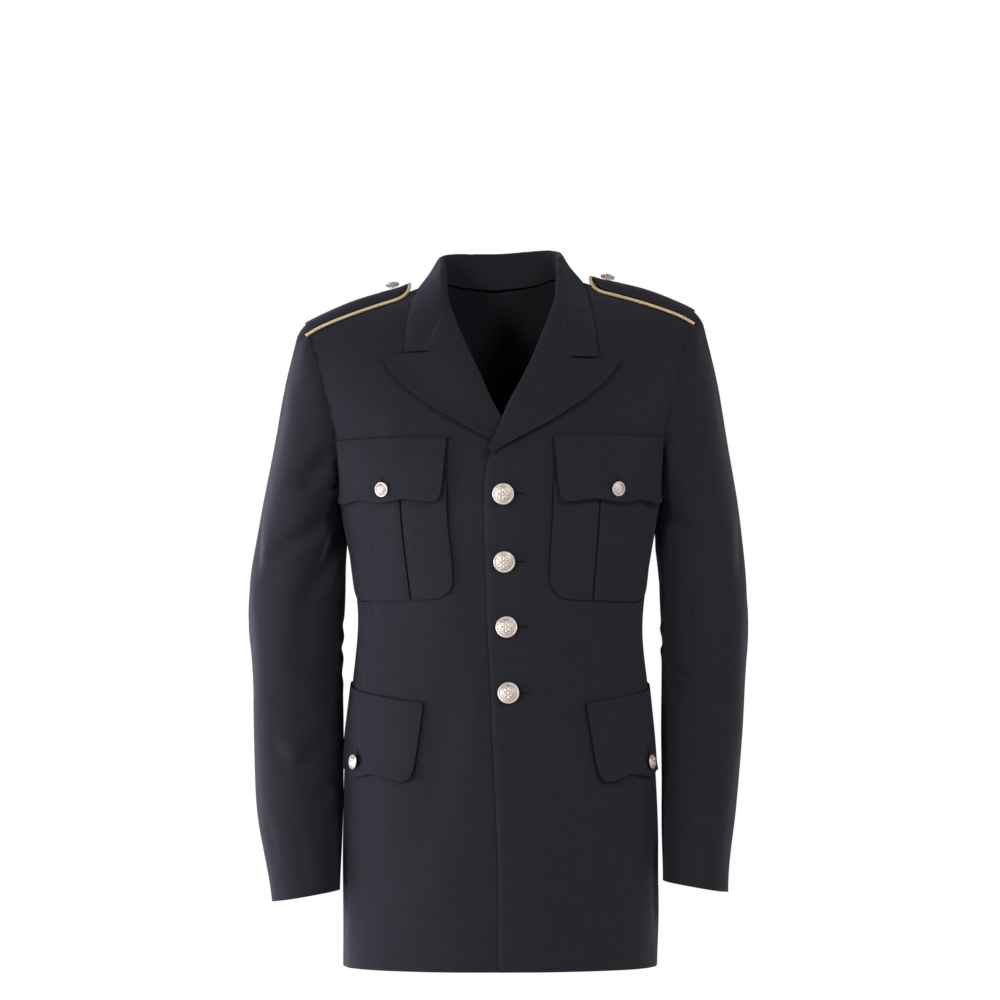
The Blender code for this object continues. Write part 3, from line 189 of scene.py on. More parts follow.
def thread_look():
    """Sewing thread of the cloth's own colour, a little glossier than the wool."""
    look = Look("midnight_thread", Sheen_Weight=0.08, Specular_IOR_Level=0.16)
    ply = look.noise(0.0004, 1.0)
    look.shade(Base_Color=look.mixed(ply, (0.007, 0.007, 0.010), (0.013, 0.013, 0.018)),
               Roughness=0.76 - 0.15 * ply)
    return look.material


def cord_look():
    """Twisted gold silk: fine filaments that catch the light along each strand."""
    look = Look("gold_cord", Sheen_Weight=0.25, Sheen_Roughness=0.35, Sheen_Tint=(1.0, 0.86, 0.55, 1.0),
                Specular_IOR_Level=0.55)
    filament = (look.threads(0) + look.threads(1) * FILAMENT_SLOPE).wave(FILAMENT_PITCH)
    uneven = look.noise(0.0021, 2.0)
    tone = filament * 0.45 + uneven * 0.6
    look.shade(Base_Color=look.mixed(tone, (0.60, 0.40, 0.18), (0.95, 0.78, 0.52)),
               Roughness=0.50 - 0.18 * filament, Metallic=0.25,
               Normal=look.bump(filament, 0.00012, 0.6))
    return look.material


def brass_look(name, low, high, rough):
    """Pale gold plate with faint handling marks and a film of tarnish."""
    look = Look(name, Metallic=1.0)
    film = look.noise(0.0028, 3.0, 0.6)
    marks = look.noise(0.0007, 2.0)
    look.shade(Base_Color=look.mixed(film, low, high),
               Roughness=rough + 0.16 * film - 0.06 * marks,
               Normal=look.bump(marks, 0.00005, 0.35))
    return look.material


def floor_look():
    """Matt studio paper."""
    look = Look("studio_paper", Specular_IOR_Level=0.2)
    grain = look.noise(0.05, 2.0)
    look.shade(Base_Color=look.mixed(grain, (0.80, 0.80, 0.79), (0.84, 0.84, 0.83)),
               Roughness=0.75 + 0.1 * grain)
    return look.material


WOOL = wool_look("midnight_wool", (0.0088, 0.0088, 0.0126), (0.0165, 0.0162, 0.0218),
                 rough=0.82, sheen=0.14, gloss=0.16)
# Darker wool without sheen: painted shade for the cloth's edges, the strip beside a pleat and the
# buttonholes' slits
WOOL_EDGE_SHADE = wool_look("midnight_wool_edge", (0.0030, 0.0030, 0.0044), (0.0058, 0.0058, 0.0080),
                      rough=0.92, sheen=0.0, gloss=0.04)
THREAD = thread_look()
CORD = cord_look()
PLATE = brass_look("button_plate", (0.72, 0.66, 0.60), (0.80, 0.76, 0.72), rough=0.46)
# The ground is darker than the plate as painted shade in the recesses round the relief, and rougher as a
# matte finish.
SHADED_GROUND = brass_look("button_ground", (0.55, 0.47, 0.38), (0.70, 0.63, 0.54), rough=0.53)


# ---------------- objects and modifiers
def deselect():
    bpy.ops.object.select_all(action="DESELECT")


def activate(piece):
    deselect()
    piece.select_set(True)
    bpy.context.view_layer.objects.active = piece


def settle():
    """Applies the active object's place, turn and size to its mesh."""
    bpy.ops.object.transform_apply(location=True, rotation=True, scale=True)


def add_object(name, data):
    added = bpy.data.objects.new(name, data)
    bpy.context.scene.collection.objects.link(added)
    return added


def add_piece(name, points, faces, material):
    """A new mesh object of those points and faces."""
    mesh = bpy.data.meshes.new(name)
    mesh.from_pydata([tuple(point) for point in points], [], [tuple(face) for face in faces])
    mesh.materials.append(material)
    return add_object(name, mesh)


def modify(piece, kind, **settings):
    """Adds a modifier with its settings and applies it."""
    activate(piece)
    modifier = piece.modifiers.new(kind.lower(), kind)
    for name, value in settings.items():
        setattr(modifier, name, value)
    bpy.ops.object.modifier_apply(modifier=modifier.name)


def points_of(piece):
    points = np.zeros(len(piece.data.vertices) * 3)
    piece.data.vertices.foreach_get("co", points)
    return points.reshape(-1, 3)


def put_points(piece, points):
    piece.data.vertices.foreach_set("co", points.ravel())
    piece.data.update()


def opened(mesh):
    """A mesh's numbered points, its edges and faces, to be read or shaped."""
    made = bmesh.new()
    made.from_mesh(mesh)
    made.verts.index_update()
    made.verts.ensure_lookup_table()
    return made


def close_into(made, mesh):
    made.to_mesh(mesh)
    made.free()


def merged(node):
    """A solid's points, edges and faces, opened and with its doubled points merged."""
    made = opened(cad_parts[node].data)
    bmesh.ops.remove_doubles(made, verts=made.verts, dist=MERGE_DISTANCE)
    return made


def carry(piece, slot, *nodes):
    """The piece rides on the coat and stands for the nodes. The slot is not used."""
    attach(piece, BODY)
    if nodes:
        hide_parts(*nodes)
    return piece


def smooth(share):
    """0 below 0, 1 above 1, and smooth in between."""
    share = np.clip(share, 0.0, 1.0)
    return share * share * (3 - 2 * share)


def lengthened(ways, lengths):
    """The ways, made those lengths."""
    return ways / np.linalg.norm(ways, axis=1)[:, None] * lengths[:, None]


def way_out(point):
    """The level way from the coat's middle line past the point."""
    return Vector((point[0], point[1] - MIDDLE.y, 0.0)).normalized()


def is_outside(point, normal):
    """Whether a face there looks away from the coat's middle line."""
    return normal.dot(way_out(point)) > 0


def move_out(piece, distances):
    """Moves a piece's points level, away from the coat's middle line."""
    points = points_of(piece)
    ways = np.array([way_out(point) for point in points])
    put_points(piece, points + ways * distances[:, None])


def tree_of(points):
    tree = KDTree(len(points))
    for number, point in enumerate(points):
        tree.insert(point, number)
    tree.balance()
    return tree


def surface_of(piece):
    """The piece's surface, for finding its nearest point."""
    faces = [face.vertices[:] for face in piece.data.polygons]
    return BVHTree.FromPolygons([vertex.co for vertex in piece.data.vertices], faces)


# ---------------- folds of the cloth
TROUGH_LIP = 0.45  # a fold's raised lip against its depth
LIP_PLACE, LIP_WIDTH = 1.7, 1.3  # where the lip lies and how wide it is, against half the fold's width
FADE_SHARE = 0.35  # of its length over which a fold fades at each end
MM = 1000  # the tables' millimetres in a metre

# Soft folds round the body, as troughs, in degrees and millimetres: angle and height at both ends,
# bow sideways, half the width, depth. Angles: 0 at centre front, 90 at the wearer's left, 180 behind.
BODY_FOLDS = (
    (-66, -345, -57, -374, 2, 5.3, 1.5),  # waist, in front of the side seams
    (-72, -380, -60, -404, -2, 7.5, 1.2),
    (-74, -432, -61, -442, 2, 6.7, 1.6),
    (66, -352, 54, -380, 2, 7.5, 1),
    (75, -405, 58, -424, -2, 6, 1.4),
    (-20, -400, -44, -720, 10, 23, 2.5),  # soft flutes of the skirt
    (-72, -560, -75, -735, 4, 13, 2.8),
    (30, -470, 38, -730, -8, 24, 1.8),
    (74, -560, 78, -735, -4, 12, 2.5),
    (-56, -150, -47, -205, 3, 10, 1.7),  # drags from the armholes
    (57, -148, 46, -200, -3, 11, 1.4),
    (-108, -335, -131, -372, 3, 6, 2.5),  # waist, behind
    (-118, -390, -147, -402, -3, 7, 2.2),
    (-112, -428, -134, -448, 3, 8.3, 1.5),
    (110, -340, 135, -366, 3, 6.5, 2.2),
    (116, -382, 150, -408, 4, 7, 2.5),
    (113, -436, 138, -430, -2, 8.3, 1.3),
    (-128, -150, -140, -262, 6, 12, 3.1),  # shoulder blades
    (127, -155, 141, -270, -6, 12, 2.8),
    (-150, -60, -168, -140, 4, 13, 1.7),
    (150, -62, 166, -135, -4, 13, 1.7),
    (-106, -520, -110, -735, 6, 14, 3.4),  # skirt, behind
    (-140, -500, -137, -730, -6, 17, 3.1),
    (-166, -540, -163, -735, 4, 12, 2),
    (105, -530, 111, -735, -6, 14, 3.1),
    (143, -510, 138, -730, 6, 18, 2.8),
    (167, -530, 165, -735, 3, 11, 2.1),
)
# Folds of the sleeves, right (-1) and left (1), in the same columns. Angles: 0 outside, 90 in front,
# 180 at the body.
SLEEVE_FOLDS = {
    -1: (
        (118, -178, 80, -238, 4, 9.8, 8),  # in front
        (134, -222, 108, -230.5, 0, 3, 3.6),
        (122, -255, 58, -309, 4, 8.5, 7.4),
        (140, -262, 92, -362, 8, 11.5, 9),
        (150, -343, 84, -362, 3, 7.5, 3),
        (84, -345, 80, -470, 0, 12, -1.6),
        (200, -372, 140, -384, 2, 6, 2),  # inside of the elbow
        (205, -402, 146, -406, -2, 6, 1.8),
        (198, -432, 142, -426, -2, 6, 1.6),
        (122, -471, 58, -499, 3, 9.5, 3.4),  # forearm
        (58, -492, 90, -545, 2, 9.5, 2.4),
        (86, -544, 134, -500, 3, 9.5, 3),
        (150, -535, 110, -572, 2, 8, 1.6),
        (95, -590, 98, -672, 1, 7.5, 1),
        (45, -575, 62, -640, 3, 10, 1.2),
        (20, -250, 52, -330, 5, 11, 2.2),  # outside
        (236, -190, 290, -252, 4, 9.8, 4.7),  # behind
        (218, -250, 300, -300, 4, 8.6, 5),
        (214, -300, 272, -362, 5, 9.2, 4.3),
        (205, -450, 270, -478, 4, 7.5, 3.6),
        (300, -480, 262, -538, 3, 8, 3.2),
        (215, -560, 262, -548, 3, 6.9, 2.9),
        (320, -330, 345, -420, 4, 12.6, 2.5),
    ),
    1: (
        (90, -176, 108, -215, 2, 7.5, 2.4),  # in front
        (124, -252, 80, -296, 3, 9.8, 2.1),
        (92, -336, 64, -320, 2, 6.3, 1.8),
        (105, -338, 110, -396, 2, 6.7, 3.2),
        (200, -366, 138, -374, 2, 5.2, 2.7),  # inside of the elbow
        (204, -394, 146, -400, -2, 5.2, 2.9),
        (134, -421.5, 100, -439.5, 0, 3.4, 2.9),
        (118, -530, 62, -560, 3, 7.5, 2.1),  # forearm
        (125, -475, 74, -492, 3, 8, 1.8),
        (84, -590, 90, -670, 2, 8, 1.3),
        (30, -260, 50, -340, 4, 12.6, 1.8),  # outside
        (240, -195, 292, -258, 4, 9.8, 3.8),  # behind
        (220, -256, 296, -305, 4, 8.6, 3.8),
        (212, -305, 268, -360, 5, 9.2, 3.5),
        (206, -455, 268, -470, 3, 7.5, 2.9),
        (300, -490, 258, -540, 3, 8, 2.6),
        (322, -340, 344, -430, 4, 12.6, 1.9),
    ),
}
# How far each sleeve swells towards the body: height and reach, in millimetres
SWELLS_IN = {
    -1: ((-720, 1), (-640, 4), (-560, 6), (-460, 5), (-380, 5), (-330, 6.5), (-290, 7), (-250, 4),
         (-200, 0)),
    1: ((-720, 0), (-330, 0), (-295, 4), (-260, 5), (-230, 2), (-200, 0)),
}
SWELL_SPREAD = math.radians(48)
# The slow unevenness of hanging cloth: waves a metre round and up, and where they start
UNEVEN_WAVES = ((9.0, 3.1, 0.4), (-5.2, 8.3, 1.9), (14.0, -4.6, 3.3), (21.0, 6.5, 5.1))
BODY_UNEVEN, SLEEVE_UNEVEN = 0.0005, 0.0006
YOKE_RISE = 0.25  # on the shoulders the push goes up too, by this beside its level way in metres
YOKE_FROM, YOKE_OVER = -0.12, 0.10  # the height where that starts and the height it takes to grow
SEAM_REACH = 0.003  # a sleeve's edge lies this near the armhole
SEAM_FADE = 0.012  # folds fade out over this far from an armhole
SLEEVE_ROLL = 0.0022  # how far a sleeve stands out just past the armhole
ROLL_REACH = 0.034
# A sleeve's middle is found at stations from so far above its cuff to its top, from the points near each
ARM_FOOT, ARM_TOP, ARM_STATIONS = 0.03, -0.10, 9
ARM_SLICE = 0.028
SLEEVE_PARTS = ("sleeve_top_", "sleeve_under_")


def folded(u, v, folds, radius):
    """How far folds push the cloth out at places u round a limb and v up it."""
    turn = 2 * math.pi * radius
    push = np.zeros(len(u))
    for angle_a, high_a, angle_b, high_b, *sizes in folds:
        bow, half_wide, deep = (size / MM for size in sizes)
        start = math.radians(angle_a) * radius
        run = Vector((math.radians(angle_b) * radius - start, high_b / MM - high_a / MM))
        span = run.length
        run /= span
        aside_u = (u - start + turn / 2) % turn - turn / 2
        aside_v = v - high_a / MM
        share = (aside_u * run.x + aside_v * run.y) / span
        across = aside_v * run.x - aside_u * run.y - bow * 4 * share * (1 - share)
        ends = smooth(share / FADE_SHARE) * smooth((1 - share) / FADE_SHARE)
        trough = np.exp(-(across / half_wide) ** 2)
        lip = np.exp(-((across - LIP_PLACE * half_wide) / (LIP_WIDTH * half_wide)) ** 2)
        push += deep * ends * (TROUGH_LIP * lip - trough)
    return push


def unevenness(u, v, amount):
    """How far hanging cloth stands out or in by itself, apart from its folds."""
    waves = [np.sin(2 * math.pi * (a * u + b * v) + phase) for a, b, phase in UNEVEN_WAVES]
    return amount * sum(wave / number for number, wave in enumerate(waves, 1))


def armhole_points():
    """The sleeves' points that lie on the body's armholes."""
    tree = tree_of([vertex.co for node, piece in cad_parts.items() for vertex in piece.data.vertices
                    if node.startswith(("front_", "side_", "back_"))])
    points = [vertex.co for side in SIDES for part in SLEEVE_PARTS
              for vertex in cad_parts[part + side].data.vertices]
    return tree_of([point for point in points if tree.find(point)[2] < SEAM_REACH])


ARMHOLES = armhole_points()


def seam_fade(points, reach):
    """0 on an armhole's seam and 1 from reach away."""
    return smooth(np.array([ARMHOLES.find(point)[2] for point in points]) / reach)


def body_map(points):
    """Metres round the body and up it."""
    x, y, z = points.T
    return np.arctan2(x, MIDDLE.y - y) * BODY_RADIUS, z


def body_push(points):
    """How the body's folds move its points."""
    u, v = body_map(points)
    push = folded(u, v, BODY_FOLDS, BODY_RADIUS) + unevenness(u, v, BODY_UNEVEN)
    x, y, z = points.T
    out = np.stack([x, y - MIDDLE.y, YOKE_RISE * smooth((z - YOKE_FROM) / YOKE_OVER)], axis=1)
    return lengthened(out, push * seam_fade(points, SEAM_FADE))


class Arm:
    """The middle line of one sleeve, from its solids, and places round it."""

    def __init__(self, side):
        self.side = SIDES[side]
        points = np.concatenate([points_of(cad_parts[part + side]) for part in SLEEVE_PARTS])
        self.heights = np.linspace(points[:, 2].min() + ARM_FOOT, ARM_TOP, ARM_STATIONS)
        middles = []
        for height in self.heights:
            ring = points[np.abs(points[:, 2] - height) < ARM_SLICE]
            middles.append((ring.min(axis=0) + ring.max(axis=0)) / 2)
        self.middles = np.array(middles)

    def from_middle(self, points):
        """The level ways from the middle line to the points."""
        x, y, z = points.T
        middle_x, middle_y = (np.interp(z, self.heights, self.middles[:, axis]) for axis in (0, 1))
        return np.stack([x - middle_x, y - middle_y, np.zeros(len(z))], axis=1)

    def map(self, points):
        """Metres round the arm, from its outside by way of its front, and up it."""
        x, y, _ = self.from_middle(points).T
        return np.arctan2(-y, self.side * x) % (2 * math.pi) * ARM_RADIUS, points[:, 2]

    def push(self, points):
        """How the sleeve's folds move its points."""
        u, v = self.map(points)
        heights, reaches = np.array(SWELLS_IN[self.side]).T / MM
        push = folded(u, v, SLEEVE_FOLDS[self.side], ARM_RADIUS) + unevenness(u, v, SLEEVE_UNEVEN)
        push += np.interp(v, heights, reaches) * np.exp(-((u / ARM_RADIUS - math.pi) / SWELL_SPREAD) ** 2)
        push += SLEEVE_ROLL * (1 - seam_fade(points, ROLL_REACH))
        return lengthened(self.from_middle(points), push * seam_fade(points, SEAM_FADE))


# ---------------- cloth
# How each piece on both sides is held; the panels are sewn to their neighbours
HELD = {"front": "hung", "side": "hung", "back": "hung", "sleeve_top": "hung", "sleeve_under": "hung",
        "lapel": "folded", "pocket": "laid", "flap_breast": "hung", "flap_lower": "hung", "loop": "laid"}
PANELS = ("front_", "side_", "back_", "sleeve_top_", "sleeve_under_")
LAID_ON = ("flap_", "lapel_")
TWINS = {"back_left", "back_right", "collar", "lapel_left", "lapel_right"}  # sewn across the middle too
PANEL_LEVELS, SMALL_LEVELS = 3, 2  # of subdivision
FACE, SHADED_EDGE = 0, 1  # material numbers of the cloth's faces and of its cut or pressed edges, whose wool is painted darker as shade

JOIN_ANGLE = math.radians(60)  # triangles that meet flatter than this are paired again
SKEW_ANGLE = math.radians(120)
RIM_ANGLE = math.radians(35)  # an edge sharper than this borders a cut or pressed edge
FOLDED_RIM_ANGLE = math.radians(45)  # and on the collar and lapels, which are folded
CORNER_ANGLE = math.radians(60)  # corners of a cut edge sharper than this stay sharp
RIM_SHARE = 0.0014  # a patch whose area is less than this times its outline is an edge
EDGE_ROUND = 0.00045  # rounding of the cloth's cut edges
SEAM_ROUND = 0.00080  # and of the panels' edges along their seams
SEAM_GAP = 0.0035  # panels nearer than this are sewn together
SEAM_PRESS = 0.00005  # and reach this far into each other

EDGE_PRESS = (0.0002, 0.0060)  # how much thinner a pressed edge is, and over how wide a strip
COLLAR_PRESS = (0.0017, 0.0130)
FRONT_PRESS = (0.0014, 0.0055)
FRONT_EDGE_REACH = 0.030  # the front's free edge lies this near the middle
BREAK_Z, OPENING_SLOPE = -0.186, 0.49  # where the opening starts, and how fast it widens going up
LAPEL_LIFT, LIFT_REACH = 0.0022, 0.013  # a lapel's outer edge stands off, over this wide a strip
LAPEL_LEAST = 0.012  # it lies at least this much further out than the opening
NOTCH_X, NOTCH_Z = 0.0745, -0.100  # the gorge lies inside and above the notch
GORGE_FLAT_X = 0.066  # and carries the painted edge shade, a dark seam, only outside this
NOTCH_FACING = -0.6  # only the collar's edges that face down to the notch keep the painted edge shade
NOTCH_FROM, NOTCH_GAP, NOTCH_REACH = 0.060, 0.0020, 0.006  # where its slit starts, its width and spread
FOLD_FROM, FOLD_DEPTH = 84, 0.020  # degrees from the front where the collar's fold starts to be level
FOLD_STATION, FOLD_DEGREE = 3.0, 4  # its height is taken every so many degrees and evened by a polynomial

PLEAT_INSET = 0.010  # a pocket's pleat starts at least this far from its sides
PLEAT_SLANT = 0.0011
PLEAT_END = 1.06  # of the pleat's width, where its slant ends
PLEAT_FACING = 0.15
LAP_WIDTH = 0.0006  # how far the pleat's pressed edge laps over the cloth beside it
GROOVE_DEPTH, GROOVE_WIDTH = 0.0013, 0.0015
FLAP_FLARE, FLARE_REACH = 0.0032, 0.022  # a flap's lower edge stands off, over this high a strip
FLAP_LAY = 0.0015  # a lower flap lies this much closer behind, past these degrees
FLAP_LAY_FROM, FLAP_LAY_OVER = 42, 20


def whole_faces(node):
    """A node's points and faces, its doubled points merged and its triangles paired again."""
    made = merged(node)
    bmesh.ops.join_triangles(made, faces=made.faces, angle_face_threshold=JOIN_ANGLE,
                             angle_shape_threshold=SKEW_ANGLE)
    made.verts.index_update()
    points = [vertex.co.copy() for vertex in made.verts]
    faces = [[vertex.index for vertex in face.verts] for face in made.faces]
    made.free()
    return points, faces


def patches_of(made, limit):
    """The faces in groups that meet at sharp edges."""
    seen, patches = set(), []
    for start in made.faces:
        if start in seen:
            continue
        seen.add(start)
        patch, front = [], [start]
        while front:
            face = front.pop()
            patch.append(face)
            for edge in face.edges:
                for other in edge.link_faces:
                    if other not in seen and edge.calc_face_angle(0.0) < limit:
                        seen.add(other)
                        front.append(other)
        patches.append(patch)
    return patches


def leaves(edge, faces):
    """Whether the edge borders a face that isn't one of these."""
    return any(other not in faces for other in edge.link_faces)


def is_narrow(patch):
    """Whether a patch is a strip as wide as the cloth is thick."""
    inside = set(patch)
    outline = sum(edge.calc_length() for face in patch for edge in face.edges if leaves(edge, inside))
    return sum(face.calc_area() for face in patch) < RIM_SHARE * outline


def across_of(faces):
    """How far from the coat's middle each corner of these faces lies."""
    return [abs(vertex.co.x) for face in faces for vertex in face.verts]


def pleat_steps(patches):
    """The steps at both sides of a pocket's pleat, the one towards the buttons first."""
    reach = [x for patch in patches for x in across_of(patch)]
    steps = []
    for patch in patches:
        own = across_of(patch)
        if min(own) > min(reach) + PLEAT_INSET and max(own) < max(reach) - PLEAT_INSET:
            steps.append((sum(own) / len(own), patch))
    return [patch for _, patch in sorted(steps, key=lambda pair: pair[0])]


def step_line(patch):
    """A pleat's step as heights, going up, and distances from the coat's middle."""
    points = sorted((vertex.co.z, abs(vertex.co.x)) for face in patch for vertex in face.verts)
    return np.array(points).T


def mark_edges(piece, node):
    """Gives the cut and pressed edges the darker wool of painted shade and keeps their corners sharp.

    For a pocket it gives the lines of its pleat's two steps, the one towards the buttons first.
    """
    made = opened(piece.data)
    crease = made.edges.layers.float.new("crease_edge")
    limit = FOLDED_RIM_ANGLE if node.startswith(("collar", "lapel")) else RIM_ANGLE
    narrow = [patch for patch in patches_of(made, limit) if is_narrow(patch)]
    pleat = []
    if node.startswith("pocket"):
        steps = pleat_steps(narrow)
        pleat = [step_line(step) for step in steps]
        # The pleat's outer step keeps the plain wool, so only the step towards the buttons shows the
        # painted shade.
        narrow.remove(steps[1])
    rim = {face for patch in narrow for face in patch}
    for face in rim:
        face.material_index = SHADED_EDGE
        for edge in face.edges:
            sharp = edge.calc_face_angle(0.0)
            if sharp > CORNER_ANGLE or (sharp > limit and leaves(edge, rim)):
                edge[crease] = 1.0
    close_into(made, piece.data)
    return pleat


def edge_points(piece):
    """Numbers of the points on the piece's cut edges."""
    edges = [face for face in piece.data.polygons if face.material_index == SHADED_EDGE]
    return sorted({number for face in edges for number in face.vertices})


def on_gorge(point):
    """Whether a point lies on the seam between collar and lapel, inside the notch."""
    return abs(point.x) < NOTCH_X and point.y < MIDDLE.y and point.z > NOTCH_Z


def on_front_edge(point):
    """Whether a point lies by the front's free edge, below the lapels."""
    return abs(point.x) < FRONT_EDGE_REACH and point.z < BREAK_Z


def press_edges(piece, depth, reach, pressed=lambda point: True):
    """Thins the piece from outside towards its pressed edges, as an iron leaves it."""
    made = opened(piece.data)
    ways, unders, rim = {}, {}, {}
    for face in made.faces:
        for vertex in face.verts:
            if face.material_index == SHADED_EDGE:
                rim[vertex.index] = vertex
            elif is_outside(face.calc_center_median(), face.normal):
                ways[vertex.index] = ways.get(vertex.index, Vector()) + face.normal
            else:
                unders[vertex.index] = vertex
    tops = list(ways)
    rim_tree = tree_of([vertex.co for vertex in rim.values() if pressed(vertex.co)])
    top_tree = tree_of([made.verts[number].co for number in tops])
    under_tree = tree_of([vertex.co for vertex in unders.values()])
    moves = {}
    for number, way in ways.items():
        near = max(0.0, 1 - rim_tree.find(made.verts[number].co)[2] / reach)
        moves[number] = way.normalized() * (-depth * near ** 2)
    for number, vertex in rim.items():
        if number not in moves:
            _, nearest, above = top_tree.find(vertex.co)
            below = under_tree.find(vertex.co)[2]
            moves[number] = moves[tops[nearest]] * (below / max(below + above, TINY))
    for number, move in moves.items():
        made.verts[number].co += move
    close_into(made, piece.data)


def slant_pleat(piece, near_line, far_line):
    """Lets the pleat's raised face come down towards its outer step, which hardly shows."""
    x, y, z = points_of(piece).T
    near = np.interp(z, *near_line)
    far = np.interp(z, *far_line)
    share = (np.abs(x) - near) / (far - near)
    outside = np.array([is_outside(vertex.co, vertex.normal) for vertex in piece.data.vertices])
    within = smooth((PLEAT_END - share) / (PLEAT_END - 1))
    move_out(piece, -PLEAT_SLANT * smooth(share) * within * outside)


def groove_pleat(piece):
    """Deepens the cloth beside the pleat's pressed edge, which laps over it, and paints the faces there
    with the darker edge wool as a shadow line.
    """
    made = opened(piece.data)
    edges = [face for face in made.faces if face.material_index == SHADED_EDGE]
    reach = across_of(edges)
    tree = tree_of([vertex.co.copy() for face in edges for vertex in face.verts
                    if min(reach) + PLEAT_INSET < abs(vertex.co.x) < max(reach) - PLEAT_INSET
                    and face.normal.dot(way_out(vertex.co)) > PLEAT_FACING])
    for face in made.faces:
        centre = face.calc_center_median()
        near, _, distance = tree.find(centre)
        # Faces in this strip beside the pleat's edge take the darker edge wool: a painted shadow line.
        in_painted_shade = distance < GROOVE_WIDTH and abs(centre.x) < abs(near.x) + LAP_WIDTH
        if in_painted_shade and is_outside(centre, face.normal):
            face.material_index = SHADED_EDGE
    for vertex in made.verts:
        near, _, distance = tree.find(vertex.co)
        if is_outside(vertex.co, vertex.normal) and abs(vertex.co.x) < abs(near.x) + LAP_WIDTH / 2:
            vertex.co -= way_out(vertex.co) * GROOVE_DEPTH * math.exp(-(distance / GROOVE_WIDTH) ** 2)
    close_into(made, piece.data)


def degrees_round(points):
    """Degrees round the coat, 0 in front and going up to 180 by way of the wearer's left."""
    return np.degrees(np.arctan2(points[:, 0], MIDDLE.y - points[:, 1]))


def lay_flap(piece):
    """Lays a lower flap close on the coat's side."""
    angles = np.abs(degrees_round(points_of(piece)))
    move_out(piece, -FLAP_LAY * smooth((angles - FLAP_LAY_FROM) / FLAP_LAY_OVER))


def lift_lapel(piece):
    """Lets a lapel's outer edge stand a little off the chest."""
    points = points_of(piece)
    edge = [Vector(points[number]) for number in edge_points(piece)]
    outer = [point for point in edge if not on_gorge(point)
             and abs(point.x) > OPENING_SLOPE * (point.z - BREAK_Z) + LAPEL_LEAST]
    tree = tree_of(outer)
    near = np.array([1 - tree.find(point)[2] / LIFT_REACH for point in points])
    move_out(piece, LAPEL_LIFT * smooth(near))


def notch_heights(piece):
    """The lowest height of the collar outside the gorge, by side."""
    x, y, z = points_of(piece).T
    return {side: z[(y < MIDDLE.y) & (x * side > GORGE_FLAT_X)].min() for side in SIDES.values()}


def open_notch(piece, heights):
    """Draws the collar's lower edge up from the lapel's at the notch, so that a slit shows there."""
    points = points_of(piece)
    x, y, z = points.T
    low = np.where(x > 0, heights[1.0], heights[-1.0])
    share = smooth((np.abs(x) - NOTCH_FROM) / (GORGE_FLAT_X - NOTCH_FROM)) * (y < MIDDLE.y)
    points[:, 2] += NOTCH_GAP * share * smooth((low + NOTCH_REACH - z) / NOTCH_REACH)
    put_points(piece, points)


def flare_flap(piece):
    """Lets a flap's lower edge stand off what it covers."""
    z = points_of(piece)[:, 2]
    move_out(piece, FLAP_FLARE * smooth((z.min() + FLARE_REACH - z) / FLARE_REACH))


def level_fold(piece):
    """Evens out the height of the collar's fold behind the neck."""
    points = points_of(piece)
    angles = degrees_round(points) % 360
    stations = np.arange(FOLD_FROM, 360 - FOLD_FROM + 1, FOLD_STATION)
    tops = np.array([points[np.abs(angles - station) < FOLD_STATION, 2].max() for station in stations])
    even = np.polyval(np.polyfit(stations - 180, tops, FOLD_DEGREE), stations - 180)
    shift = np.interp(angles, stations, even - tops, left=0.0, right=0.0)
    top = np.interp(angles, stations, tops)
    points[:, 2] += shift * smooth((points[:, 2] - top + FOLD_DEPTH) / FOLD_DEPTH)
    put_points(piece, points)


def press_collar(piece):
    """Opens the collar's notches and presses its outer edge and the edges past the gorge."""
    heights = notch_heights(piece)
    open_notch(piece, heights)

    def pressed(point):
        above = point.z > heights[math.copysign(1.0, point.x)] + NOTCH_REACH
        return above and (not on_gorge(point) or abs(point.x) > GORGE_FLAT_X)

    press_edges(piece, *COLLAR_PRESS, pressed)


def map_threads(piece, u, v, radius):
    """Lays the thread map over the piece, unbroken on faces that cross the line where u starts again."""
    turn = 2 * math.pi * radius
    layer = piece.data.uv_layers.new(name="threads")
    loops = np.zeros(len(piece.data.loops), int)
    starts, totals = np.zeros((2, len(piece.data.polygons)), int)
    piece.data.loops.foreach_get("vertex_index", loops)
    piece.data.polygons.foreach_get("loop_start", starts)
    piece.data.polygons.foreach_get("loop_total", totals)
    first = np.repeat(u[loops[starts]], totals)
    near = first + (u[loops] - first + turn / 2) % turn - turn / 2
    layer.data.foreach_set("uv", np.stack([near, v[loops]], axis=1).ravel())


def cut(node, push):
    """One piece of cloth: its solid's surface made fine, with its folds."""
    piece = add_piece("cloth_" + node, *whole_faces(node), WOOL)
    piece.data.materials.append(WOOL_EDGE_SHADE)
    pleat = mark_edges(piece, node)
    levels = PANEL_LEVELS if node.startswith(PANELS) else SMALL_LEVELS
    modify(piece, "SUBSURF", levels=levels, render_levels=levels)
    points = points_of(piece)
    put_points(piece, points + push(points))
    if pleat:
        slant_pleat(piece, *pleat)
        groove_pleat(piece)
    if node.startswith("flap_lower"):
        lay_flap(piece)
    if node.startswith("flap"):
        flare_flap(piece)
    if node.startswith("lapel"):
        lift_lapel(piece)
    if node == "collar":
        level_fold(piece)
        press_collar(piece)
    elif node == "front_left":
        press_edges(piece, *FRONT_PRESS, on_front_edge)
    elif not node.startswith(PANELS):
        press_edges(piece, *EDGE_PRESS)
    return piece


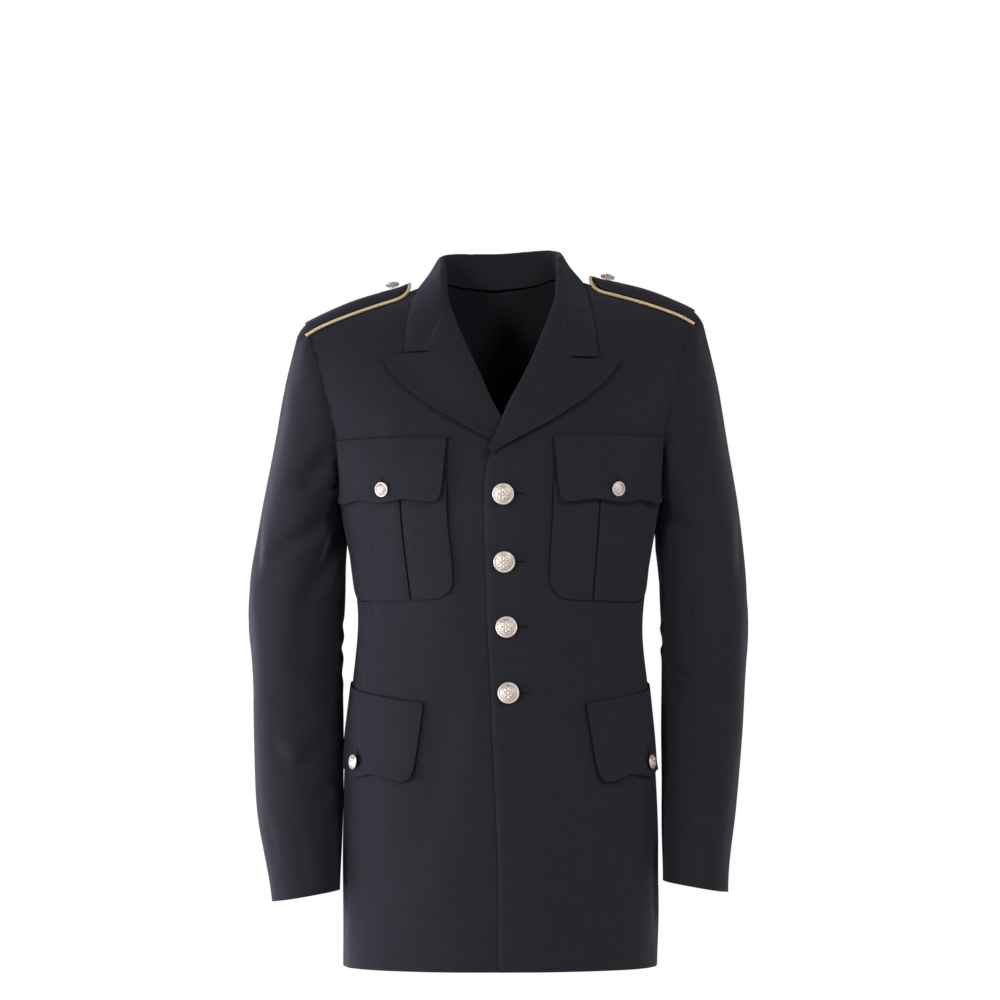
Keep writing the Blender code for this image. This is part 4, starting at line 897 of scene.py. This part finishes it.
def sew(pieces, panels, within=lambda point: True):
    """Brings the cut edges of neighbouring panels together along their seams."""
    surfaces = {node: surface_of(pieces[node]) for node in panels}
    for node in panels:
        side = node.rsplit("_", 1)[-1]
        others = [surfaces[other] for other in panels
                  if other != node and (other.endswith(side) or {other, node} <= TWINS)]
        points = points_of(pieces[node])
        for number in edge_points(pieces[node]):
            point = Vector(points[number])
            hits = [surface.find_nearest(point, SEAM_GAP) for surface in others] if within(point) else []
            near = [(hit[3], hit[0]) for hit in hits if hit[0] is not None]
            distance, target = min(near, key=lambda pair: pair[0], default=(0.0, None))
            if distance > 0.0:
                points[number] = point + (target - point) * (0.5 + SEAM_PRESS / distance)
        put_points(pieces[node], points)


def bare_edges(piece, node):
    """Takes the painted edge shade off edges that are turned under or sewn flat, so they look like the
    rest of the wool.
    """
    for face in piece.data.polygons:
        x = abs(face.center.x)
        on_front = node == "front_left" and x < FRONT_EDGE_REACH
        on_side = node == "collar" and face.normal.z > NOTCH_FACING
        on_seam = node.startswith(("collar", "lapel")) and on_gorge(face.center) and x < GORGE_FLAT_X
        if on_front or on_side or on_seam:
            face.material_index = FACE


def finish_cloth(piece, node, place, radius, held):
    """Rounds the piece's edges and lays its thread map."""
    width = SEAM_ROUND if node.startswith(PANELS + LAID_ON) else EDGE_ROUND
    # The rounding's new faces take the darker edge wool too: painted shade along the rounded edges.
    modify(piece, "BEVEL", width=width, segments=2, material=SHADED_EDGE, limit_method="ANGLE",
           angle_limit=RIM_ANGLE)
    bare_edges(piece, node)
    map_threads(piece, *place(points_of(piece)), radius)
    activate(piece)
    bpy.ops.object.shade_smooth()
    part, _, side = node.rpartition("_")
    width, length, area = CUTS.get(node) or CUTS[part]
    carry(piece, "wool", node)
    rests_on = ["front_" + side] if held == "laid" else ()


def make_cloth():
    """All of the coat's cloth, by its node."""
    body = (body_push, body_map, BODY_RADIUS)
    wraps = {"collar": (*body, "folded")}
    for side in SIDES:
        arm = Arm(side)
        for part, held in HELD.items():
            wrap = (arm.push, arm.map, ARM_RADIUS) if part.startswith("sleeve") else body
            wraps[part + "_" + side] = (*wrap, held)
    pieces = {node: cut(node, push) for node, (push, *_) in wraps.items()}
    sew(pieces, [part + side for side in SIDES for part in PANELS])
    sew(pieces, ["collar", "lapel_left", "lapel_right"], on_gorge)
    for node, piece in pieces.items():
        stitch_edges(piece, node)
    for node, (_, *finish) in wraps.items():
        finish_cloth(pieces[node], node, *finish)
    return pieces


# ---------------- stitches and buttonholes
STITCH_PITCH = 0.0030
STITCH_HALF = (0.00105, 0.00024, 0.00012)  # half a stitch's length, width and height
EDGE_INSET = 0.0058  # a row of stitches lies this far inside an edge
POCKET_INSET = 0.0020
INSET_KEPT = 0.93  # of the inset, the least that a stitch keeps from the edge
LEAST_ROW = 0.012  # a shorter row is left out
PROBE = 0.004  # the outer face is looked for from this far above it


def shape_of_stitch():
    """Points and faces of one stitch, with half its length, width and height as 1."""
    deselect()
    bpy.ops.mesh.primitive_uv_sphere_add(segments=6, ring_count=4, radius=1.0,
                                         rotation=(0, math.pi / 2, 0))
    settle()
    shape = bpy.context.active_object
    points = points_of(shape)
    faces = [list(face.vertices) for face in shape.data.polygons]
    bpy.data.objects.remove(shape, do_unlink=True)
    return points, faces


STITCH_POINTS, STITCH_FACES = shape_of_stitch()


def stitched(name, places, half):
    """Stitches in one piece. A place is a stitch's middle, the way it runs and its cloth's normal."""
    points, faces = [], []
    for middle, along, normal in places:
        side = np.cross(normal, along)
        turned = STITCH_POINTS @ np.array([along * half[0], side * half[1], normal * half[2]])
        faces += [[number + len(points) * len(STITCH_POINTS) for number in face] for face in STITCH_FACES]
        points.append(middle + turned)
    piece = add_piece(name, np.concatenate(points), faces, THREAD)
    activate(piece)
    bpy.ops.object.shade_smooth()
    return carry(piece, "wool")


def laid_row(line, surface, pitch, outward):
    """Places at an even pitch along a line of points, on the surface's outer face."""
    line, _ = even_line(line, pitch)
    places = []
    for point, way in zip(line, np.gradient(line, axis=0)):
        spot, normal, _, _ = surface.find_nearest(Vector(point + outward(point) * PROBE))
        normal = np.array(normal)
        way = way - normal * (way @ normal)
        places.append((np.array(spot), way / np.linalg.norm(way), normal))
    return places


def outlines_of(piece, shown):
    """Lines of points and inward ways along the outer face's edges, where they are shown."""
    made = opened(piece.data)
    links, inward = {}, {}
    for edge in made.edges:
        plain = [face for face in edge.link_faces if face.material_index != SHADED_EDGE]
        middle = (edge.verts[0].co + edge.verts[1].co) / 2
        if len(plain) != 1 or len(edge.link_faces) != 2 or not shown(middle, plain[0].normal):
            continue
        way = edge.verts[1].co - edge.verts[0].co
        aside = plain[0].calc_center_median() - middle
        aside = (aside - way * (aside.dot(way) / way.length_squared)).normalized()
        for vertex in edge.verts:
            links.setdefault(vertex.index, []).append(edge.other_vert(vertex).index)
            inward[vertex.index] = inward.get(vertex.index, Vector()) + aside
    places = {number: (np.array(made.verts[number].co), np.array(way.normalized()))
              for number, way in inward.items()}
    made.free()
    lines, left = [], set(links)
    while left:
        ends = [number for number in left if len(links[number]) == 1]
        number = min(ends or left)
        line = []
        while number is not None:
            left.discard(number)
            line.append(places[number])
            number = next((other for other in links[number] if other in left), None)
        lines.append(line)
    return lines


def outward_from(point):
    """The way from the coat's middle point past the point."""
    way = np.array(point) - np.array(MIDDLE)
    return way / np.linalg.norm(way)


def stitch_rows(piece, inset, shown):
    """Places of the stitches that run along a piece's edges."""
    surface = surface_of(piece)

    def shown_outside(at, normal):
        return normal.dot(Vector(outward_from(at))) > 0 and shown(at)

    outlines = outlines_of(piece, shown_outside)
    edge_tree = tree_of([point for line in outlines for point, _ in line])
    places = []
    for outline in outlines:
        row = [point + way * inset for point, way in outline]
        row = [point for point in row if edge_tree.find(point)[2] > INSET_KEPT * inset]
        if sum(np.linalg.norm(b - a) for a, b in zip(row, row[1:])) > LEAST_ROW:
            places += laid_row(row, surface, STITCH_PITCH, outward_from)
    return places


def stitch_edges(piece, node):
    """The row of stitches inside a piece's free edges, where it has one."""
    own = points_of(piece)
    low = own[:, 2].min()
    wide = np.abs(own[:, 0]).max()
    narrow = np.abs(own[:, 0]).min()
    shown = {
        "front_left": on_front_edge,
        "pocket": lambda at: (at.z < low + POCKET_INSET
                              or not narrow + PLEAT_INSET < abs(at.x) < wide - PLEAT_INSET),
        "flap": lambda at: True,
        "loop": lambda at: True,
        "lapel": lambda at: not on_gorge(at),
    }
    for kind in shown:
        if node.startswith(kind):
            inset = POCKET_INSET if kind == "pocket" else EDGE_INSET
            places = stitch_rows(piece, inset, shown[kind])
            stitched("stitches_" + node, places, STITCH_HALF)


# Buttonholes, by the start of their button's name: the cloth, the way from the button, the
# hole's middle from the button's, and half its length
UP, ACROSS = "up", "across"
HOLES = {
    "button_front_": ("front_left", ACROSS, 0.0110, 0.0120),
    "button_breast_": ("flap_breast_", UP, 0.0055, 0.0085),
    "button_lower_": ("flap_lower_", UP, 0.0055, 0.0085),
    "button_loop_": ("loop_", ACROSS, 0.0055, 0.0085),
}
SLIT_RADIUS, SLIT_SIDES, SLIT_STEP = 0.00050, 6, 0.0010
WHIP_HALF = (0.00105, 0.00030, 0.00026)  # half a whip stitch's length, width and height
WHIP_PITCH = 0.00075
WHIP_ASIDE = 0.00115  # from the slit to the middle of a whip stitch
WHIP_FAN = (-60, -30, 0, 30, 60)


def make_buttonhole(button, piece, way, middle, half):
    """A worked buttonhole in a piece of cloth by a button: whip stitches round a slit."""
    foot, axis, _ = button_seat(button)
    side = SIDES.get(button.rsplit("_", 1)[-1], 1.0)
    along = Vector((0, 0, 1)) if way == UP else Vector((side, 0, 0))
    along = (along - axis * along.dot(axis)).normalized()
    ends = [np.array(foot + along * (middle + share * half)) for share in (-1.0, 0.0, 1.0)]
    slit, whips = (laid_row(ends, surface_of(piece), step, lambda point: np.array(axis))
                   for step in (SLIT_STEP, WHIP_PITCH))
    line = np.array([spot for spot, _, _ in slit])
    # The slit is a thin tube of the darker edge wool: painted shade in the opening.
    carry(add_piece("slit_" + button, *tube(line, SLIT_RADIUS, SLIT_SIDES), WOOL_EDGE_SHADE), "wool")
    places = []
    for spot, run, normal in whips:
        aside = np.cross(normal, run)
        places += [(spot + aside * WHIP_ASIDE * turn, aside, normal) for turn in (-1, 1)]
    for (spot, run, normal), ahead in ((slit[0], -1), (slit[-1], 1)):
        aside = np.cross(normal, run)
        for turn in map(math.radians, WHIP_FAN):
            out = run * ahead * math.cos(turn) + aside * math.sin(turn)
            places.append((spot + out * WHIP_ASIDE, out, normal))
    stitched("buttonhole_" + button, places, WHIP_HALF)


def make_buttonholes(cloth):
    """The buttonhole of every button."""
    for node in sorted(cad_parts):
        for start, (name, *hole) in HOLES.items():
            if node.startswith(start):
                side = node.rsplit("_", 1)[-1]
                make_buttonhole(node, cloth[name + side if name.endswith("_") else name], *hole)


# ---------------- buttons
def turned_shape(name, profile, steps):
    """A round shape whose rings, as radius and height, are extruded one from the other."""
    deselect()
    radius, height = profile[0]
    bpy.ops.mesh.primitive_circle_add(vertices=steps, radius=radius, fill_type="NGON",
                                      location=(0, 0, height))
    bpy.ops.object.mode_set(mode="EDIT")
    bpy.ops.mesh.select_all(action="SELECT")
    for before, after in zip(profile, profile[1:]):
        bpy.ops.mesh.extrude_region_move(TRANSFORM_OT_translate={"value": (0, 0, after[1] - before[1])})
        grow = after[0] / before[0]
        bpy.ops.transform.resize(value=(grow, grow, 1.0), center_override=(0, 0, after[1]))
    bpy.ops.mesh.poke()
    bpy.ops.mesh.select_all(action="SELECT")
    bpy.ops.mesh.normals_make_consistent(inside=False)
    bpy.ops.object.mode_set(mode="OBJECT")
    shape = bpy.context.active_object
    shape.name = name
    settle()
    return shape


def lump(segments, rings, place, size):
    """A rounded lump of relief at a place, as wide, deep and high as size."""
    deselect()
    bpy.ops.mesh.primitive_uv_sphere_add(segments=segments, ring_count=rings, radius=1.0, location=place)
    bpy.ops.transform.resize(value=size)
    settle()
    return bpy.context.active_object


def copies_round(shape, count, first=0.0):
    """The shape's copies, evenly round the button's axis from so many degrees on."""
    made = []
    for number in range(count):
        copy = add_object(shape.name, shape.data.copy())
        copy.data.transform(Matrix.Rotation(math.radians(first) + 2 * math.pi * number / count, 4, "Z"))
        made.append(copy)
    bpy.data.objects.remove(shape, do_unlink=True)
    return made


def joined(base, others):
    """The base with the others made part of it."""
    activate(base)
    for other in others:
        other.select_set(True)
    bpy.ops.object.join()
    return base


# Shank, back, rim and dome of a button, as shares of its radius: radius, height
BUTTON_RINGS = (
    (0.34, 0.000), (0.34, 0.150), (0.90, 0.195), (0.965, 0.235), (1.000, 0.300), (0.995, 0.350),
    (0.960, 0.400), (0.905, 0.415), (0.860, 0.400), (0.835, 0.372), (0.800, 0.380), (0.690, 0.460),
    (0.550, 0.535), (0.400, 0.590), (0.230, 0.625), (0.080, 0.638),
)
RIM_INSIDE, RIM_HEIGHT = 0.850, 0.3  # the dome's ground, darker as painted shade round the relief, lies inside this radius and above this height
BUTTON_STEPS = 48
BUTTON_CORNER = math.radians(40)
STEEP = 0.8  # a button whose axis rises more than this faces up
# The relief's lumps: segments, rings, place and size
BEADS, BEAD = 30, (8, 6, (0.815, 0.0, 0.392), (0.052, 0.052, 0.050))
PETALS, PETAL = 8, (12, 8, (0.360, 0.0, 0.590), (0.205, 0.105, 0.085))
LEAF = (8, 6, (0.610, 0.0, 0.500), (0.085, 0.060, 0.060))
HEART = (16, 10, (0.0, 0.0, 0.625), (0.135, 0.135, 0.110))


def button_model():
    """A dress button of radius 1: a beaded rim round an eight-petalled rosette."""
    plate = turned_shape("button_model", BUTTON_RINGS, BUTTON_STEPS)
    plate.data.materials.append(PLATE)
    plate.data.materials.append(SHADED_GROUND)
    for face in plate.data.polygons:
        inside = math.hypot(face.center.x, face.center.y) < RIM_INSIDE
        face.material_index = 1 if inside and face.center.z > RIM_HEIGHT else 0
    relief = copies_round(lump(*BEAD), BEADS)
    relief += copies_round(lump(*PETAL), PETALS)
    relief += copies_round(lump(*LEAF), PETALS, 180 / PETALS)
    relief.append(lump(*HEART))
    for shape in relief:
        shape.data.materials.append(PLATE)
    model = joined(plate, relief)
    activate(model)
    bpy.ops.object.shade_smooth_by_angle(angle=BUTTON_CORNER)
    return model


def button_seat(node):
    """A button's foot, its axis away from the cloth, and its radius, from its solid."""
    points = np.unique(np.round(points_of(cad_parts[node]), 6), axis=0)
    middle = points.mean(axis=0)
    axis = Vector(np.linalg.eigh(np.cov((points - middle).T))[1][:, 0])
    if axis.dot(Vector(middle) - MIDDLE) < 0:
        axis.negate()
    heights = (points - middle) @ np.array(axis)
    foot = Vector(middle) + axis * heights.min()
    aside = (points - middle) - np.outer(heights, axis)
    return foot, axis, float(np.linalg.norm(aside, axis=1).max())


def seat_matrix(foot, axis, size):
    """From a shape standing on its foot to its place, with its front as upright as can be."""
    up = Vector((0, 0, 1)) if abs(axis.z) < STEEP else Vector((0, 1, 0))
    side = up.cross(axis).normalized()
    turn = Matrix((side, axis.cross(side), axis)).transposed().to_4x4()
    return Matrix.Translation(foot) @ turn @ Matrix.Scale(size, 4)


def make_buttons():
    """A copy of the model in the place of every button's solid."""
    model = button_model()
    for node in sorted(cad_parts):
        if node.startswith("button_"):
            piece = add_object("dress_" + node, model.data.copy())
            piece.data.transform(seat_matrix(*button_seat(node)))
            carry(piece, "brass", node)
    bpy.data.objects.remove(model, do_unlink=True)


# ---------------- cord of the shoulder loops
STRANDS, STRAND_RADIUS = 3, 0.00098
LAY_RADIUS = 0.00092  # from the cord's middle to each strand's
LAY_PITCH = 0.0085  # one turn of the strands
CORD_STEP = 0.0006
CORD_SIDES = 8
CORD_CORNER = math.radians(50)
SAME_WAY = 0.99  # faces whose normals agree this much lie on one flat end
SPLINE_STEPS = 24  # of a smooth line between two of its points


def cord_line(node):
    """The middle line of a tube's solid, ring by ring from one end to the other."""
    made = merged(node)
    tip = max(made.verts, key=lambda vertex: vertex.co.x * vertex.co.x)
    end = max(tip.link_faces, key=lambda face: abs(face.normal.x))
    ring, wider = set(), set(end.verts)
    while len(wider) > len(ring):
        ring = wider
        flat = [face for vertex in ring for face in vertex.link_faces
                if face.normal.dot(end.normal) > SAME_WAY]
        wider = ring | {vertex for face in flat for vertex in face.verts}
    seen, line = set(ring), []
    while ring:
        line.append(sum((vertex.co for vertex in ring), Vector()) / len(ring))
        ring = {edge.other_vert(vertex) for vertex in ring for edge in vertex.link_edges} - seen
        seen |= ring
    made.free()
    return line


def even_line(line, step):
    """A smooth line through the points, resampled at even steps, and how far along each point is."""
    points = np.array(line)
    padded = np.concatenate([[2 * points[0] - points[1]], points, [2 * points[-1] - points[-2]]])
    fine = []
    for a, b, c, d in zip(padded, padded[1:], padded[2:], padded[3:]):
        for t in np.linspace(0, 1, SPLINE_STEPS, endpoint=False):
            fine.append(0.5 * (2 * b + (c - a) * t + (2 * a - 5 * b + 4 * c - d) * t * t
                               + (3 * b - a - 3 * c + d) * t ** 3))
    fine = np.array(fine + [points[-1]])
    walked = np.concatenate([[0.0], np.cumsum(np.linalg.norm(np.diff(fine, axis=0), axis=1))])
    stops = np.linspace(0.0, walked[-1], max(2, round(walked[-1] / step)) + 1)
    return np.stack([np.interp(stops, walked, fine[:, axis]) for axis in range(3)], axis=1), stops


def frames_along(line):
    """At each point of a line, two directions square to it that turn as little as they can."""
    ways = np.gradient(line, axis=0)
    ways /= np.linalg.norm(ways, axis=1)[:, None]
    side = np.cross(ways[0], (0.0, 0.0, 1.0))
    sides = []
    for way in ways:
        side = side - way * (side @ way)
        side /= np.linalg.norm(side)
        sides.append(side)
    sides = np.array(sides)
    return sides, np.cross(ways, sides)


def tube(line, radius, sides, first=0):
    """Points and faces of a tube with closed ends, its points numbered from first."""
    across, over = frames_along(line)
    angles = np.linspace(0, 2 * math.pi, sides, endpoint=False)
    points = [centre + radius * (math.cos(a) * x + math.sin(a) * y)
              for centre, x, y in zip(line, across, over) for a in angles]
    rings = [[first + ring * sides + k for k in range(sides)] for ring in range(len(line))]
    faces = []
    for ring, after in zip(rings, rings[1:]):
        for k in range(sides):
            n = (k + 1) % sides
            faces.append((ring[k], ring[n], after[n], after[k]))
    return points, faces + [rings[0][::-1], rings[-1]]


def twisted_cord(side):
    """The gold cord round a shoulder loop, its strands laid round each other."""
    node = "piping_" + side
    line, walked = even_line(cord_line(node), CORD_STEP)
    across, over = frames_along(line)
    points, faces = [], []
    for strand in range(STRANDS):
        turn = walked / LAY_PITCH * 2 * math.pi + 2 * math.pi * strand / STRANDS
        lay = line + LAY_RADIUS * (np.cos(turn)[:, None] * across + np.sin(turn)[:, None] * over)
        more_points, more_faces = tube(lay, STRAND_RADIUS, CORD_SIDES, len(points))
        points += more_points
        faces += more_faces
    piece = add_piece("cord_" + side, points, faces, CORD)
    numbers = np.arange(len(points))
    around = numbers % CORD_SIDES * (2 * math.pi * STRAND_RADIUS / CORD_SIDES)
    map_threads(piece, around, walked[numbers // CORD_SIDES % len(line)], STRAND_RADIUS)
    activate(piece)
    bpy.ops.object.shade_smooth_by_angle(angle=CORD_CORNER)
    carry(piece, "braid", node)


# ---------------- camera, light and floor
CAMERA_PLACE = (0.0, -3.60, -0.50)
CAMERA_TILT = 94.15  # degrees, level is 90
CAMERA_LENS = 118.15
LAMPS_AIM = Vector((0.0, 0.0, -0.40))
FLOOR_HEIGHT = -1.45  # the coat is worn, so the floor lies far below its hem
FLOOR_RADIUS, FLOOR_STEPS = 3.0, 96
ROOM_LIGHT = 0.07  # of the white walls all round, against how bright they look
# name, place, size, watts, colour
LAMPS = (
    ("key", (-1.8, -2.7, 0.4), 0.9, 55.0, (1.0, 0.91, 0.86)),
    ("side", (-2.8, -0.6, -0.9), 1.6, 97.0, (0.78, 0.86, 1.0)),
    ("fill", (1.9, -2.9, 1.3), 1.0, 62.0, (0.94, 0.97, 1.0)),
    ("far_side", (2.9, -0.7, -0.6), 1.6, 17.0, (1.0, 0.93, 0.86)),
    ("rim", (-2.0, 1.8, 0.2), 1.6, 50.0, (0.94, 0.90, 1.0)),
    ("far_rim", (2.0, 1.8, 0.2), 1.6, 14.0, (1.0, 1.0, 1.0)),
)


def make_camera():
    camera = add_object("camera", bpy.data.cameras.new("camera"))
    camera.data.lens = CAMERA_LENS
    camera.location = CAMERA_PLACE
    camera.rotation_euler = (math.radians(CAMERA_TILT), 0.0, 0.0)
    bpy.context.scene.camera = camera


def make_lamps():
    for name, place, size, watts, colour in LAMPS:
        lamp = bpy.data.lights.new(name, "AREA")
        lamp.size = size
        lamp.energy = watts
        lamp.color = colour
        holder = add_object(name, lamp)
        holder.location = place
        holder.rotation_euler = (LAMPS_AIM - Vector(place)).to_track_quat("-Z", "Y").to_euler()


def make_room():
    """White walls all round, which look brighter than the light that they give."""
    world = bpy.data.worlds.new("studio")
    world.use_nodes = True
    nodes, links = world.node_tree.nodes, world.node_tree.links
    shown = nodes["Background"]
    shown.inputs["Color"].default_value = (1.0, 1.0, 1.0, 1.0)
    lighting = nodes.new("ShaderNodeBackground")
    lighting.inputs["Strength"].default_value = ROOM_LIGHT
    path = nodes.new("ShaderNodeLightPath")
    choice = nodes.new("ShaderNodeMixShader")
    links.new(path.outputs["Is Camera Ray"], choice.inputs[0])
    links.new(lighting.outputs[0], choice.inputs[1])
    links.new(shown.outputs[0], choice.inputs[2])
    links.new(choice.outputs[0], nodes["World Output"].inputs["Surface"])
    bpy.context.scene.world = world
    bpy.context.scene.view_settings.view_transform = "Standard"


def make_floor():
    deselect()
    bpy.ops.mesh.primitive_circle_add(vertices=FLOOR_STEPS, radius=FLOOR_RADIUS, fill_type="NGON",
                                      location=(0, 0, FLOOR_HEIGHT))
    floor = bpy.context.active_object
    floor.name = "floor"
    settle()
    floor.data.materials.append(floor_look())


# ---------------- the dressed coat
make_camera()
make_lamps()
make_room()
make_floor()
CLOTH = make_cloth()
make_buttonholes(CLOTH)
make_buttons()
for side_name in SIDES:
    twisted_cord(side_name)
